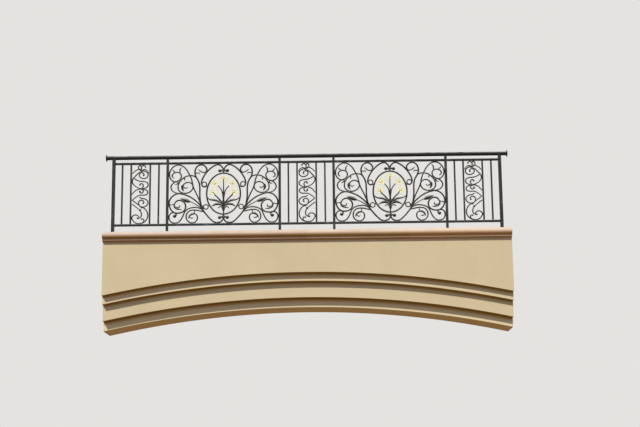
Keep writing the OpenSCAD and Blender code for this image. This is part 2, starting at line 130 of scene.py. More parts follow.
class Smooth:
    """Smooth lines through drawn points, as a smith bends bars.

    Attributes:
        turn: the most that a line turns at one of its points, in degrees.
        straight: the least turn that it counts with, in radians.
    """

    turn: float = 10.0
    straight: float = 0.0002

    @staticmethod
    def inner_way(p: Sequence[Vector], i: int) -> Vector:
        """Direction of the line through p at the inner point i.

        Args:
            p: the line's points.
            i: the point's number.

        Returns:
            A unit vector.
        """
        a = p[i] - p[i - 1]
        b = p[i + 1] - p[i]
        return (a * (b.length / a.length) + b * (a.length / b.length)).normalized()

    @staticmethod
    def across(chord: Vector, way: Vector) -> Vector:
        """The direction way mirrored about chord, as at the ends of an arc."""
        return 2 * chord.dot(way) * chord - way

    @classmethod
    def ways(cls, p: Sequence[Vector]) -> Line:
        """Directions of the line through p at each of its points.

        Args:
            p: the line's points.

        Returns:
            A unit vector for each point.
        """
        first = (p[1] - p[0]).normalized()
        last = (p[-1] - p[-2]).normalized()
        if len(p) == 2:
            return [first, last]
        inner = [cls.inner_way(p, i) for i in range(1, len(p) - 1)]
        return [cls.across(first, inner[0]), *inner, cls.across(last, inner[-1])]

    @classmethod
    def through(cls, points: Iterable[Vector], longest: float = 0.03) -> Line:
        """Points along the smooth line.

        Args:
            points: the drawn points, in metres.
            longest: the longest straight bit, in metres.

        Returns:
            The line's points, first and last included.
        """
        p = list(points)
        way = cls.ways(p)
        out: Line = []
        for i in range(len(p) - 1):
            a, b, u, v = p[i], p[i + 1], way[i], way[i + 1]
            chord = (b - a).normalized()
            bend = math.degrees(u.angle(chord) + chord.angle(v))
            steps = max(2, math.ceil(bend / cls.turn), math.ceil((b - a).length / longest))
            angle = max(cls.straight, u.angle(v))
            pull = (b - a).length * 2 * math.tan(angle / 4) / math.sin(angle / 2)
            for k in range(steps):
                t = k / steps
                h = t * t * (3 - 2 * t)
                out.append(a + h * (b - a) + t * (1 - t) * pull * ((1 - t) * u - t * v))
        out.append(p[-1])
        return out

    @staticmethod
    def sides(c: Sequence[Vector], closed: bool = False) -> Line:
        """Unit vectors across the line c at each of its points.

        Args:
            c: the line's points.
            closed: whether the last point joins the first.

        Returns:
            The vectors.
        """
        n = len(c)
        out: Line = []
        for i in range(n):
            a = c[(i - 1) % n] if closed else c[max(0, i - 1)]
            b = c[(i + 1) % n] if closed else c[min(n - 1, i + 1)]
            d = (b - a).normalized()
            out.append(Vector((-d.y, d.x)))
        return out


class Draft:
    """Vertices and faces of one piece, gathered before it becomes an object."""

    def __init__(self, smooth: bool = True) -> None:
        """Starts with nothing drawn, for a smooth or a flat-sided piece.

        Args:
            smooth: whether its faces are shaded as one surface.
        """
        self.smooth = smooth
        self.verts: Ring = []
        self.faces: list[tuple[int, ...]] = []
        self.finish_of: list[int] = []
        self.finish: int = 0

    def ring(self, points: Iterable[Point]) -> list[int]:
        """Adds points and returns their numbers.

        Args:
            points: the points, in the frame.

        Returns:
            Their numbers in the piece.
        """
        start = len(self.verts)
        self.verts.extend(tuple(p) for p in points)
        return list(range(start, len(self.verts)))

    def face(self, *ids: int) -> None:
        """Adds a face with the finish in use."""
        self.faces.append(ids)
        self.finish_of.append(self.finish)

    def skin(self, rings: Sequence[Iterable[Point]], closed: bool = False) -> None:
        """Joins rings of equal length by quads.

        Args:
            rings: the rings, in order.
            closed: the last ring joins the first one, without end faces.
        """
        ids = [self.ring(r) for r in rings]
        pairs = list(zip(ids, ids[1:]))
        if closed:
            pairs.append((ids[-1], ids[0]))
        for a, b in pairs:
            n = len(a)
            for k in range(n):
                self.face(a[k], a[(k + 1) % n], b[(k + 1) % n], b[k])
        if not closed:
            self.face(*reversed(ids[0]))
            self.face(*ids[-1])

    def turned(self, put: Put, centre: Vector, profile: Iterable[Point], sides: int) -> None:
        """Draws a turned form, such as a ball or a screw's head.

        Args:
            put: gives the place of a flat point at a height.
            centre: the form's middle.
            profile: its radius and height from end to end.
            sides: how many sides it has.
        """
        ways = around(sides)
        self.skin([[put(centre + radius * way, height) for way in ways] for radius, height in profile])

    def make(self, name: str, slot: Slot, *materials: bpy.types.Material) -> bpy.types.Object:
        """Makes an object of what was drawn, riding on the balcony.

        Args:
            name: the object's name.
            slot: not used.
            materials: its materials, by number of finish.

        Returns:
            The new object.
        """
        mesh = bpy.data.meshes.new(name)
        mesh.from_pydata(self.verts, [], self.faces)
        for face, number in zip(mesh.polygons, self.finish_of):
            face.material_index = number
            face.use_smooth = self.smooth
        bm = bmesh.new()
        bm.from_mesh(mesh)
        bmesh.ops.recalc_face_normals(bm, faces=bm.faces)
        bm.to_mesh(mesh)
        bm.free()
        for material in materials:
            mesh.materials.append(material)
        piece = stand(name, mesh)
        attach(piece, "root")
        LOG.info("%s: %d faces", name, len(mesh.polygons))
        return piece

    def stand_for(self, node: str, ending: str, slot: Slot, *materials: bpy.types.Material) -> None:
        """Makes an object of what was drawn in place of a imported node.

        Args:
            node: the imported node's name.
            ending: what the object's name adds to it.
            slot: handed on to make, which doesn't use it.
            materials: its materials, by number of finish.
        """
        piece = self.make(node + ending, slot, *materials)
        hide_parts(node)


class Tree:
    """A short way to add and join nodes in a material or a node group."""

    def __init__(self, tree: bpy.types.NodeTree) -> None:
        """Keeps the node tree to draw in."""
        self.tree = tree

    def add(self, kind: str, inputs: dict | None = None, **settings: object) -> bpy.types.Node:
        """Adds a node.

        Args:
            kind: the node's type without the words ShaderNode.
            inputs: values or sockets for its inputs, by name or number.
            settings: the node's own properties.

        Returns:
            The new node.
        """
        node = self.tree.nodes.new("ShaderNode" + kind)
        for key, value in settings.items():
            setattr(node, key, value)
        for key, value in (inputs or {}).items():
            self.feed(node.inputs[key], value)
        return node

    def feed(self, socket: Socket, value: object) -> None:
        """Joins a socket to another one, or gives it a plain value.

        Args:
            socket: the input.
            value: an output, a number or a colour.
        """
        if isinstance(value, Socket):
            self.tree.links.new(value, socket)
        elif isinstance(value, tuple) and socket.type == "RGBA":
            socket.default_value = (*value[:3], 1.0)
        else:
            socket.default_value = value

    def math(self, operation: str, a: object, b: object, clamp: bool = False) -> Socket:
        """One sum of two values or sockets."""
        return self.add("Math", {0: a, 1: b}, operation=operation, use_clamp=clamp).outputs[0]

    def times(self, a: object, b: object) -> Socket:
        """The product of two values or sockets."""
        return self.math("MULTIPLY", a, b)

    def ramp(self, value: object, low: float, high: float) -> Socket:
        """A smooth step from 0 at low to 1 at high."""
        ends = {"Value": value, "From Min": low, "From Max": high}
        return self.add("MapRange", ends, interpolation_type="SMOOTHSTEP").outputs["Result"]

    def mix(self, factor: object, a: object, b: object) -> Socket:
        """A colour between a and b.

        Args:
            factor: how much of b, from 0 to 1.
            a: the first colour.
            b: the second colour.

        Returns:
            The colour.
        """
        node = self.add("Mix", data_type="RGBA")
        # The node has sockets for each kind of value, and these are the colours' ones.
        for number, value in ((0, factor), (6, a), (7, b)):
            self.feed(node.inputs[number], value)
        return node.outputs[2]

    def place(self) -> Socket:
        """Where on the object a point is, in metres."""
        return self.add("TexCoord").outputs["Object"]

    def noise(
        self, scale: object, detail: float = 3.0, rough: float = 0.55, where: Socket | None = None
    ) -> Socket:
        """A grey noise.

        Args:
            scale: its waves a metre.
            detail: how many finer waves it adds.
            rough: how strong they are.
            where: its coordinates, the place on the object unless given.

        Returns:
            Its value.
        """
        where = self.place() if where is None else where
        inputs = {"Vector": where, "Scale": scale, "Detail": detail, "Roughness": rough}
        return self.add("TexNoise", inputs).outputs["Fac"]

    def stretched(self, *scale: float) -> Socket:
        """The place on the object, scaled by different amounts along X, Y and Z."""
        return self.add("Mapping", {"Vector": self.place(), "Scale": scale}).outputs["Vector"]

    def parts(self, vector: Socket) -> Sockets:
        """A vector's X, Y and Z."""
        return self.add("SeparateXYZ", {0: vector}).outputs

    def facing(self, axis: str) -> Socket:
        """How far the surface faces along an axis, from -1 to 1."""
        return self.parts(self.add("NewGeometry").outputs["Normal"])[axis]


Draw = Callable[[Tree, Sockets], Results]


class Effect(Enum):
    """The effects that several materials share."""

    DUST_AND_HIGHLIGHT = "dust_and_painted_highlight"
    MOTTLE = "cloudy_mottle"
    STREAKS = "rain_streaks"
    GRIT = "fine_grit"
    DENTS = "hammer_dents"
    UNDERSIDE_SHADE = "painted_underside_shade"
    CORNER = "painted_corner_shade"


class Effects:
    """Builds each shared effect once, as a node group."""

    def __init__(self) -> None:
        """Builds every effect, with its inputs' first values."""
        self.groups: dict[Effect, bpy.types.NodeTree] = {}
        grey = (0.5, 0.5, 0.5)
        slopes = {"Least Slope": 0.15, "Full Slope": 0.85}
        self.build(Effect.DUST_AND_HIGHLIGHT, self.dust_and_highlight, {"Upper Sides": 0.8, "Patches": 0.3, "Scale": 12.0, **slopes})
        self.build(Effect.MOTTLE, self.mottle, {"Colour": grey, "Dark": 0.85, "Light": 1.08, "Scale": 2.0})
        self.build(Effect.STREAKS, self.streaks, {"Top": 0.1, "Length": 0.5, "Amount": 0.5})
        self.build(Effect.GRIT, self.grit, {"Scale": 300.0})
        self.build(Effect.DENTS, self.dents, {"Scale": 70.0})
        slopes = {"Least Slope": 0.0, "Full Slope": 0.65}
        self.build(Effect.UNDERSIDE_SHADE, self.under, {"Colour": grey, "Under": grey, "Amount": 1.0, **slopes})
        self.build(Effect.CORNER, self.corner, {"Middle": 0.0, "Radius": 1.0, "Width": 0.03})

    def build(self, effect: Effect, draw: Draw, inputs: dict[str, float | Colour]) -> None:
        """Builds one effect.

        Args:
            effect: which effect it is.
            draw: draws it from the group's inputs and gives its results by name.
            inputs: each input's first value by its name.
        """
        group = bpy.data.node_groups.new(effect.value, "ShaderNodeTree")
        sockets = group.interface.new_socket
        for name, value in inputs.items():
            tinted = isinstance(value, tuple)
            kind = "NodeSocketColor" if tinted else "NodeSocketFloat"
            socket = sockets(name=name, in_out="INPUT", socket_type=kind)
            socket.default_value = (*value, 1.0) if tinted else value
        results = draw(Tree(group), group.nodes.new("NodeGroupInput").outputs)
        for name, result in results.items():
            kind = "NodeSocketFloat" if result.type == "VALUE" else "NodeSocketColor"
            sockets(name=name, in_out="OUTPUT", socket_type=kind)
        sink = group.nodes.new("NodeGroupOutput").inputs
        for name, result in results.items():
            group.links.new(result, sink[name])
        self.groups[effect] = group

    @staticmethod
    def dust_and_highlight(tree: Tree, source: Sockets) -> Results:
        """Dust in patches and on upper sides, as a mask; on the iron's sloping upper sides it is also a
        painted highlight.

        Args:
            tree: draws the group's nodes.
            source: the group's inputs.

        Returns:
            The mask.
        """
        cloud = tree.noise(source["Scale"], detail=4.0)
        slope = tree.ramp(tree.facing("Z"), source["Least Slope"], source["Full Slope"])
        top = tree.times(tree.times(slope, source["Upper Sides"]), tree.ramp(cloud, low=0.25, high=0.6))
        spots = tree.times(tree.ramp(cloud, low=0.56, high=0.74), source["Patches"])
        return {"Mask": tree.math("MAXIMUM", top, spots)}

    @staticmethod
    def mottle(tree: Tree, source: Sockets) -> Results:
        """Cloudy tones in a colour.

        Args:
            tree: draws the group's nodes.
            source: the group's inputs.

        Returns:
            The colour.
        """
        cloud = tree.noise(source["Scale"], detail=5.0, rough=0.6)
        ends = {"Value": cloud, "From Min": 0.25, "From Max": 0.75}
        ends |= {"To Min": source["Dark"], "To Max": source["Light"]}
        tone = tree.add("MapRange", ends).outputs["Result"]
        scaled = tree.add("VectorMath", {0: source["Colour"], "Scale": tone}, operation="SCALE")
        return {"Colour": scaled.outputs["Vector"]}

    @staticmethod
    def streaks(tree: Tree, source: Sockets) -> Results:
        """Streaks that rain leaves below an edge, as a mask.

        Args:
            tree: draws the group's nodes.
            source: the group's inputs.

        Returns:
            The mask.
        """
        lines = tree.noise(scale=1.0, detail=4.0, rough=0.6, where=tree.stretched(16.0, 16.0, 0.9))
        drop = tree.math("SUBTRACT", source["Top"], tree.parts(tree.place())["Z"])
        fade = tree.math("SUBTRACT", 1.0, tree.math("DIVIDE", drop, source["Length"]), clamp=True)
        mask = tree.times(tree.ramp(lines, low=0.5, high=0.72), fade)
        return {"Mask": tree.times(mask, source["Amount"])}

    @staticmethod
    def grit(tree: Tree, source: Sockets) -> Results:
        """Fine grains of sand, as a height and as a speckle.

        Args:
            tree: draws the group's nodes.
            source: the group's inputs.

        Returns:
            The height and the speckle.
        """
        grains = tree.noise(source["Scale"], detail=3.0, rough=0.7)
        inputs = {"Vector": tree.place(), "Scale": source["Scale"]}
        cells = tree.add("TexVoronoi", inputs).outputs["Distance"]
        height = tree.math("SUBTRACT", grains, tree.times(cells, 0.5))
        return {"Height": height, "Speckle": tree.ramp(grains, low=0.35, high=0.7)}

    @staticmethod
    def dents(tree: Tree, source: Sockets) -> Results:
        """Soft dents of a smith's hammer, as a height.

        Args:
            tree: draws the group's nodes.
            source: the group's inputs.

        Returns:
            The height.
        """
        inputs = {"Vector": tree.place(), "Scale": source["Scale"]}
        soft = tree.add("TexVoronoi", inputs, feature="SMOOTH_F1").outputs["Distance"]
        mill_scale = tree.times(tree.noise(scale=500.0, detail=4.0, rough=0.65), 0.25)
        return {"Height": tree.math("ADD", soft, mill_scale)}

    @staticmethod
    def under(tree: Tree, source: Sockets) -> Results:
        """Painted shade: a colour that is darker and warmer on downward faces.

        Args:
            tree: draws the group's nodes.
            source: the group's inputs.

        Returns:
            The colour.
        """
        below = tree.ramp(tree.times(tree.facing("Z"), -1.0), source["Least Slope"], source["Full Slope"])
        mask = tree.times(below, source["Amount"])
        return {"Colour": tree.mix(mask, source["Colour"], source["Under"])}

    @staticmethod
    def corner(tree: Tree, source: Sockets) -> Results:
        """Painted shade on a front face along the arc where the step above meets it, as a mask.

        Args:
            tree: draws the group's nodes.
            source: the group's inputs.

        Returns:
            The mask.
        """
        where = tree.parts(tree.place())
        height = tree.math("SUBTRACT", where["Z"], source["Middle"])
        flat = tree.add("CombineXYZ", {"X": where["X"], "Y": 0.0, "Z": height}).outputs["Vector"]
        reach = tree.add("VectorMath", {0: flat}, operation="LENGTH").outputs["Value"]
        depth = tree.math("SUBTRACT", source["Radius"], reach)
        near = tree.math("SUBTRACT", 1.0, tree.ramp(depth, low=0.0, high=source["Width"]))
        below = tree.ramp(depth, low=-0.002, high=0.0)
        front = tree.ramp(tree.times(tree.facing("Y"), -1.0), low=0.3, high=0.7)
        return {"Mask": tree.times(tree.times(near, below), front)}


class Coat(Tree):
    """Draws one material on its own shader, with the shared effects."""

    def __init__(self, name: str, effects: Effects) -> None:
        """Starts a new material.

        Args:
            name: the material's name.
            effects: the shared effects.
        """
        self.material = bpy.data.materials.new(name)
        self.material.use_nodes = True
        super().__init__(self.material.node_tree)
        self.shader = self.tree.nodes["Principled BSDF"].inputs
        self.groups = effects.groups

    def use(self, effect: Effect, **values: object) -> Sockets:
        """Places an effect in the material.

        Args:
            effect: which effect.
            values: its inputs, with _ for a space in their names.

        Returns:
            The effect's outputs.
        """
        node = self.add("Group", node_tree=self.groups[effect])
        for key, value in values.items():
            self.feed(node.inputs[key.replace("_", " ")], value)
        return node.outputs

    def toned(self, colour: object, dark: float, light: float, scale: float) -> Socket:
        """A colour with cloudy tones between dark and light times its own."""
        return self.use(Effect.MOTTLE, Colour=colour, Dark=dark, Light=light, Scale=scale)["Colour"]

    def paint(self, colour: Socket) -> None:
        """Gives the surface its colour."""
        self.feed(self.shader["Base Color"], colour)

    def bump(self, height: Socket, strength: float, distance: float) -> None:
        """Raises the surface by a height."""
        inputs = {"Height": height, "Strength": strength, "Distance": distance}
        self.feed(self.shader["Normal"], self.add("Bump", inputs).outputs["Normal"])


@dataclass(frozen=True)
class Finish:
    """A surface finish with its own shader.

    Attributes:
        name: its material's name.
        colour: its main colour.
        roughness: how rough its clean surface is.
    """

    name: str
    colour: Colour
    roughness: float

    def material(self, effects: Effects) -> bpy.types.Material:
        """The finish as a new material that uses the shared effects.

        Args:
            effects: the shared effects.

        Returns:
            The material.
        """
        coat = Coat(self.name, effects)
        coat.material.diffuse_color = (*self.colour, 1.0)
        coat.shader["Roughness"].default_value = self.roughness
        self.dress(coat)
        return coat.material

    def dress(self, coat: Coat) -> None:
        """Draws the finish, in each kind's own way."""
        raise NotImplementedError

    def darker(self, *shares: float) -> Colour:
        """The finish's colour with a share of each of its red, green and blue."""
        return tuple(c * share for c, share in zip(self.colour, shares))


@dataclass(frozen=True)
class IronPaint(Finish):
    """Black paint on forged iron, rusty in spots, with dust and a painted highlight on its upper sides.

    Attributes:
        dust_and_highlight: the colour of the dust and painted highlight on upper sides, and of the dust
            elsewhere.
        rust: the rust's colour, and rusted how far its spots cover the paint.
        upper: how much dust and painted highlight lie on upper sides, and patches how much dust lies
            elsewhere.
        dents: how strong the hammer's dents are.
        slopes: how far a face looks up where the dust and painted highlight start and where they are full.
        sheen: how much the paint mirrors.
    """

    dust_and_highlight: Colour = (0.26, 0.24, 0.21)
    rust: Colour = (0.10, 0.045, 0.02)
    rusted: float = 0.6
    upper: float = 0.8
    patches: float = 0.25
    dents: float = 0.5
    slopes: tuple[float, float] = (0.15, 0.85)
    sheen: float = 0.25

    def dress(self, coat: Coat) -> None:
        """Draws worn paint, rust, dust with a painted highlight on upper sides, and hammer dents.

        Args:
            coat: draws the finish's material.
        """
        paint = coat.toned(self.colour, dark=0.7, light=1.35, scale=9.0)
        spots = coat.ramp(coat.noise(scale=34.0, detail=5.0, rough=0.7), low=0.64, high=0.76)
        rusty = coat.mix(coat.times(spots, self.rusted), paint, self.rust)
        values = {"Upper_Sides": self.upper, "Patches": self.patches, "Scale": 14.0}
        values |= {"Least_Slope": self.slopes[0], "Full_Slope": self.slopes[1]}
        # Dust, and on the upper sides a painted highlight.
        mask = coat.use(Effect.DUST_AND_HIGHLIGHT, **values)["Mask"]
        coat.paint(coat.mix(mask, rusty, self.dust_and_highlight))
        rough = coat.math("ADD", coat.times(mask, 0.4), self.roughness, clamp=True)
        coat.feed(coat.shader["Roughness"], rough)
        coat.shader["Specular IOR Level"].default_value = self.sheen
        height = coat.use(Effect.DENTS, Scale=70.0)["Height"]
        coat.bump(height, self.dents, distance=0.0008)


@dataclass(frozen=True)
class GoldPaint(Finish):
    """Pale gold paint with grime.

    Attributes:
        grime_and_shade: the grime's colour, and dirty how far it covers the gold.
    """

    grime_and_shade: Colour = (0.36, 0.31, 0.11)
    dirty: float = 0.25

    def dress(self, coat: Coat) -> None:
        """Draws uneven gold, grime and dents.

        Args:
            coat: draws the finish's material.
        """
        gold = coat.toned(self.colour, dark=0.82, light=1.1, scale=30.0)
        grime_and_shade = coat.ramp(coat.noise(scale=60.0, detail=5.0, rough=0.7), low=0.55, high=0.75)
        coat.paint(coat.mix(coat.times(grime_and_shade, self.dirty), gold, self.grime_and_shade))
        height = coat.use(Effect.DENTS, Scale=160.0)["Height"]
        coat.bump(height, strength=0.25, distance=0.0005)


@dataclass(frozen=True)
class Sandstone(Finish):
    """Sandstone with bedding, soot, a gritty face and painted shade on its downward faces.

    Attributes:
        soot: the colour of its dark grains and dirt.
        below: the colour of the painted shade on its downward faces.
    """

    soot: Colour = (0.20, 0.15, 0.11)
    below: Colour = (0.28, 0.148, 0.043)

    def dress(self, coat: Coat) -> None:
        """Draws the stone's tones, beds, soot, grains and painted shade below.

        Args:
            coat: draws the finish's material.
        """
        beds = coat.noise(scale=1.0, detail=4.0, where=coat.stretched(1.2, 6.0, 22.0))
        bedded = coat.ramp(beds, low=0.45, high=0.7)
        base = coat.mix(bedded, self.colour, self.darker(0.95, 0.88, 0.8))
        tone = coat.toned(base, dark=0.88, light=1.06, scale=7.0)
        grit = coat.use(Effect.GRIT, Scale=420.0)
        speckled = coat.mix(coat.times(grit["Speckle"], 0.1), tone, self.soot)
        dirt = coat.ramp(coat.noise(scale=22.0, detail=6.0, rough=0.7), low=0.58, high=0.75)
        dirty = coat.mix(coat.times(dirt, 0.3), speckled, self.soot)
        # Painted shade, darker and warmer, on faces that look down.
        values = {"Colour": dirty, "Under": self.below, "Least_Slope": -0.3, "Full_Slope": 0.6}
        coat.paint(coat.use(Effect.UNDERSIDE_SHADE, **values)["Colour"])
        coat.bump(grit["Height"], strength=0.35, distance=0.0012)


@dataclass(frozen=True)
class Stucco(Finish):
    """Fine coloured stucco on masonry, faintly streaked below its edges, with painted shade on its downward
    faces and in the corner under the step above.

    Attributes:
        stain: the colour of its streaks and dark grains.
        below: the colour of the painted shade on its downward faces, and under how far it covers them.
        top: the height that streaks start at, and streak how strong they are.
        grime_and_shade: the colour of the painted shade in the corner under the step above.
        middle: the height of the arcs' centre.
        corner: the radius of that step's arc, and width how far the painted shade reaches.
    """

    stain: Colour = (0.33, 0.26, 0.17)
    below: Colour = (0.32, 0.2, 0.035)
    under: float = 1.0
    top: float = 0.09
    streak: float = 0.08
    grime_and_shade: Colour = (0.36, 0.205, 0.03)
    middle: float = 0.0
    corner: float = 1.0
    width: float = 0.045

    def dress(self, coat: Coat) -> None:
        """Draws cloudy tones, grains, streaks, painted shade in the corner under the step above and painted
        shade on downward faces.

        Args:
            coat: draws the finish's material.
        """
        tone = coat.toned(self.colour, dark=0.95, light=1.04, scale=1.7)
        grit = coat.use(Effect.GRIT, Scale=260.0)
        speckled = coat.mix(coat.times(grit["Speckle"], 0.06), tone, self.stain)
        mask = coat.use(Effect.STREAKS, Top=self.top, Length=0.45, Amount=self.streak)["Mask"]
        streaked = coat.mix(mask, speckled, self.stain)
        # Painted shade in the corner under the step above.
        mask = coat.use(Effect.CORNER, Middle=self.middle, Radius=self.corner, Width=self.width)["Mask"]
        corner_shaded = coat.mix(mask, streaked, self.grime_and_shade)
        # Painted shade, darker and warmer, on downward faces.
        coat.paint(coat.use(Effect.UNDERSIDE_SHADE, Colour=corner_shaded, Under=self.below, Amount=self.under)["Colour"])
        coat.bump(grit["Height"], strength=0.45, distance=0.0015)


@dataclass(frozen=True)
class Concrete(Finish):
    """Bare concrete with pores and faint board marks."""

    def dress(self, coat: Coat) -> None:
        """Draws tones, board marks and pores.

        Args:
            coat: draws the finish's material.
        """
        tone = coat.toned(self.colour, dark=0.8, light=1.12, scale=3.0)
        bands = coat.noise(scale=1.0, detail=2.0, where=coat.stretched(1.0, 9.0, 9.0))
        marks = coat.times(coat.ramp(bands, low=0.45, high=0.6), 0.25)
        coat.paint(coat.mix(marks, tone, self.darker(0.65, 0.65, 0.65)))
        coat.bump(coat.use(Effect.GRIT, Scale=180.0)["Height"], strength=0.5, distance=0.002)


@dataclass(frozen=True)
class ClayTile(Finish):
    """Matte clay tiles, each of its own shade.

    Attributes:
        other: the colour at the far end of the shades from its main one.
        dust_and_highlight: the colour of the dust on the tiles.
    """

    other: Colour = (0.34, 0.20, 0.13)
    dust_and_highlight: Colour = (0.45, 0.39, 0.32)

    def dress(self, coat: Coat) -> None:
        """Draws a shade for each tile, dust and pores.

        Args:
            coat: draws the finish's material.
        """
        shade = coat.add("NewGeometry").outputs["Random Per Island"]
        tone = coat.toned(coat.mix(shade, self.colour, self.other), dark=0.85, light=1.1, scale=14.0)
        mask = coat.use(Effect.DUST_AND_HIGHLIGHT, Upper_Sides=0.35, Patches=0.2, Scale=5.0)["Mask"]
        coat.paint(coat.mix(mask, tone, self.dust_and_highlight))
        coat.bump(coat.use(Effect.GRIT, Scale=500.0)["Height"], strength=0.25, distance=0.0008)


@dataclass(frozen=True)
class GroundPaint(Finish):
    """The studio's ground: pale to the camera, warm in the light that it throws up.

    Attributes:
        pale: the colour that the camera sees.
    """

    pale: Colour = (0.60, 0.54, 0.48)

    def dress(self, coat: Coat) -> None:
        """Shows the camera the pale colour alone.

        Args:
            coat: draws the finish's material.
        """
        seen = coat.add("LightPath").outputs["Is Camera Ray"]
        coat.paint(coat.mix(seen, self.colour, self.pale))
        coat.shader["Specular IOR Level"].default_value = 0.1


@dataclass(frozen=True)
class Arch:
    """The arcs of the beam, which share one centre at X 0.

    The corners are the arcs under the face, the upper and the middle band.
    """

    middle: float
    corners: Sequence[float]

    @classmethod
    def measured(cls) -> "Arch":
        """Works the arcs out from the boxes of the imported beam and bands.

        Returns:
            The arcs.
        """
        low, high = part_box("beam_face")
        tops = [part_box(f"{name}_arch_band")[1].z for name in ("upper", "middle", "lower")]
        half = (high.x - low.x) / 2
        rise = tops[0] - low.z
        radius = (half**2 + rise**2) / (2 * rise)
        middle = tops[0] - radius
        return cls(middle, [top - middle for top in tops])


class Palette:
    """All materials of the balcony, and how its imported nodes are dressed.

    Attributes:
        weld: points closer than this are joined before the edges are worn.
        steps: how many faces round a worn edge.
        sharp: edges sharper than this are worn, in degrees.
        flat: how strongly the big faces keep flat shading, of 100.
    """

    weld: float = 0.00002
    steps: int = 3
    sharp: float = 35.0
    flat: int = 100

    def __init__(self, effects: Effects) -> None:
        """Makes each finish's material.

        Args:
            effects: the shared effects.
        """
        iron = (0.013, 0.0138, 0.0146)
        arch = Arch.measured()
        step_1, step_2, step_3 = ({"middle": arch.middle, "corner": r} for r in arch.corners)
        finishes = {
            # The scrolls' light upper-side colour is a painted highlight along the sunlit rounding, over
            # dust.
            "scroll": IronPaint(
                "forged_scrolls", iron, 0.42,
                dust_and_highlight=(0.38, 0.35, 0.27), upper=0.95, patches=0.12, slopes=(0.0, 0.6),
            ),
            "joint": IronPaint("dusty_joints", (0.05, 0.055, 0.05), 0.6, upper=0.9, patches=0.8),
            "post": IronPaint("painted_posts", (0.021, 0.0225, 0.024), 0.45, patches=0.25, dents=0.35),
            # The rails' pale upper part is dust and a painted highlight.
            "rail": IronPaint(
                "rails_dust_and_highlight", (0.016, 0.018, 0.020), 0.5,
                dust_and_highlight=(0.30, 0.28, 0.25), upper=1.0, patches=0.3, slopes=(0.05, 0.5),
            ),
            # The handrail's light upper strip is dust and a painted highlight.
            "handrail": IronPaint(
                "handrail_paint", (0.011, 0.012, 0.0135), 0.5,
                dust_and_highlight=(0.28, 0.265, 0.23), patches=0.0, dents=0.15, slopes=(0.2, 0.7),
            ),
            "gold": GoldPaint("flower_gold_paint", (0.86, 0.80, 0.40), 0.4),
            "root": GoldPaint("petal_root_paint", (0.58, 0.51, 0.20), 0.5, dirty=0.5),
            "button": GoldPaint("flower_centre_paint", (0.84, 0.78, 0.38), 0.45),
            # The stones' below colours are painted shade on their downward faces.
            "stone_1": Sandstone("pink_sandstone", (0.61, 0.463, 0.36), 0.85),
            "stone_2": Sandstone("warm_sandstone", (0.61, 0.45, 0.325), 0.85),
            "stone_3": Sandstone("pale_sandstone", (0.65, 0.495, 0.37), 0.85, below=(0.32, 0.17, 0.05)),
            "stone_4": Sandstone("cream_sandstone", (0.68, 0.505, 0.36), 0.85, below=(0.38, 0.20, 0.07)),
            # Each stucco paints shade on its downward faces and in the corner under its step; the soffit's
            # painted underside shade is weaker.
            "stucco": Stucco("beam_stucco", (0.608, 0.494, 0.298), 0.92, **step_2),
            "band": Stucco("band_stucco_smooth", (0.66, 0.535, 0.325), 0.9, top=-0.2, **step_1),
            "soffit": Stucco(
                "soffit_stucco", (0.71, 0.58, 0.355), 0.9, under=0.35, top=-0.5, width=0.056, **step_3,
            ),
            "concrete": Concrete("slab_concrete_grey", (0.46, 0.43, 0.38), 0.9),
            "tile": ClayTile("clay_tiles", (0.42, 0.27, 0.18), 0.75),
            "mortar": Concrete("tile_mortar", (0.42, 0.39, 0.34), 0.95),
            "screw": IronPaint("screw_heads", (0.05, 0.05, 0.05), 0.35, upper=0.3, dents=0.1),
        }
        self.materials = {key: finish.material(effects) for key, finish in finishes.items()}

    def __getitem__(self, key: str) -> bpy.types.Material:
        """The material by its short name."""
        return self.materials[key]

    def dress(self, node: str, key: str, slot: Slot, edge: float) -> None:
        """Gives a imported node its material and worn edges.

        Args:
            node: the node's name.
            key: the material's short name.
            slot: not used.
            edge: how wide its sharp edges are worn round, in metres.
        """
        piece = frame["nodes"][node]
        piece.data.materials.clear()
        piece.data.materials.append(self[key])
        piece.modifiers.new("weld", "WELD").merge_threshold = self.weld
        worn = piece.modifiers.new("worn_edges", "BEVEL")
        worn.width = edge
        worn.segments = self.steps
        worn.limit_method = "ANGLE"
        worn.angle_limit = math.radians(self.sharp)
        piece.modifiers.new("flat_faces", "WEIGHTED_NORMAL").weight = self.flat
        for face in piece.data.polygons:
            face.use_smooth = True
        LOG.info("%s: %s", node, key)


@dataclass
class Opening:
    """The opening between rails and uprights that a panel fills.

    Attributes:
        node: the panel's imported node.
        bar_w: the face width of its bars, in metres.
        curves: the drawn lines that reach from edge to edge.
        weld: how far the outermost bars run into what they are welded to.
    """

    node: str
    bar_w: float
    curves: Paths
    weld: float = 0.0008

    def __post_init__(self) -> None:
        """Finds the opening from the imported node's box."""
        low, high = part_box(self.node)
        self.middle = Vector(((low.x + high.x) / 2, low.z))
        self.rail_y = (low.y + high.y) / 2
        self.depth = high.y - low.y
        widest = max(abs(q[0]) for c in self.curves for q in c)
        heights = [q[1] for c in self.curves for q in c]
        self.edge = self.bar_w / 2 - self.weld
        self.lowest = min(heights)
        self.across = ((high.x - low.x) / 2 - self.edge) / widest
        self.up = (high.z - low.z - 2 * self.edge) / (max(heights) - self.lowest)

    def spot(self, q: Point) -> Vector:
        """A drawn point set into the opening, from the middle of its foot."""
        return Vector((q[0] * self.across, self.edge + (q[1] - self.lowest) * self.up))


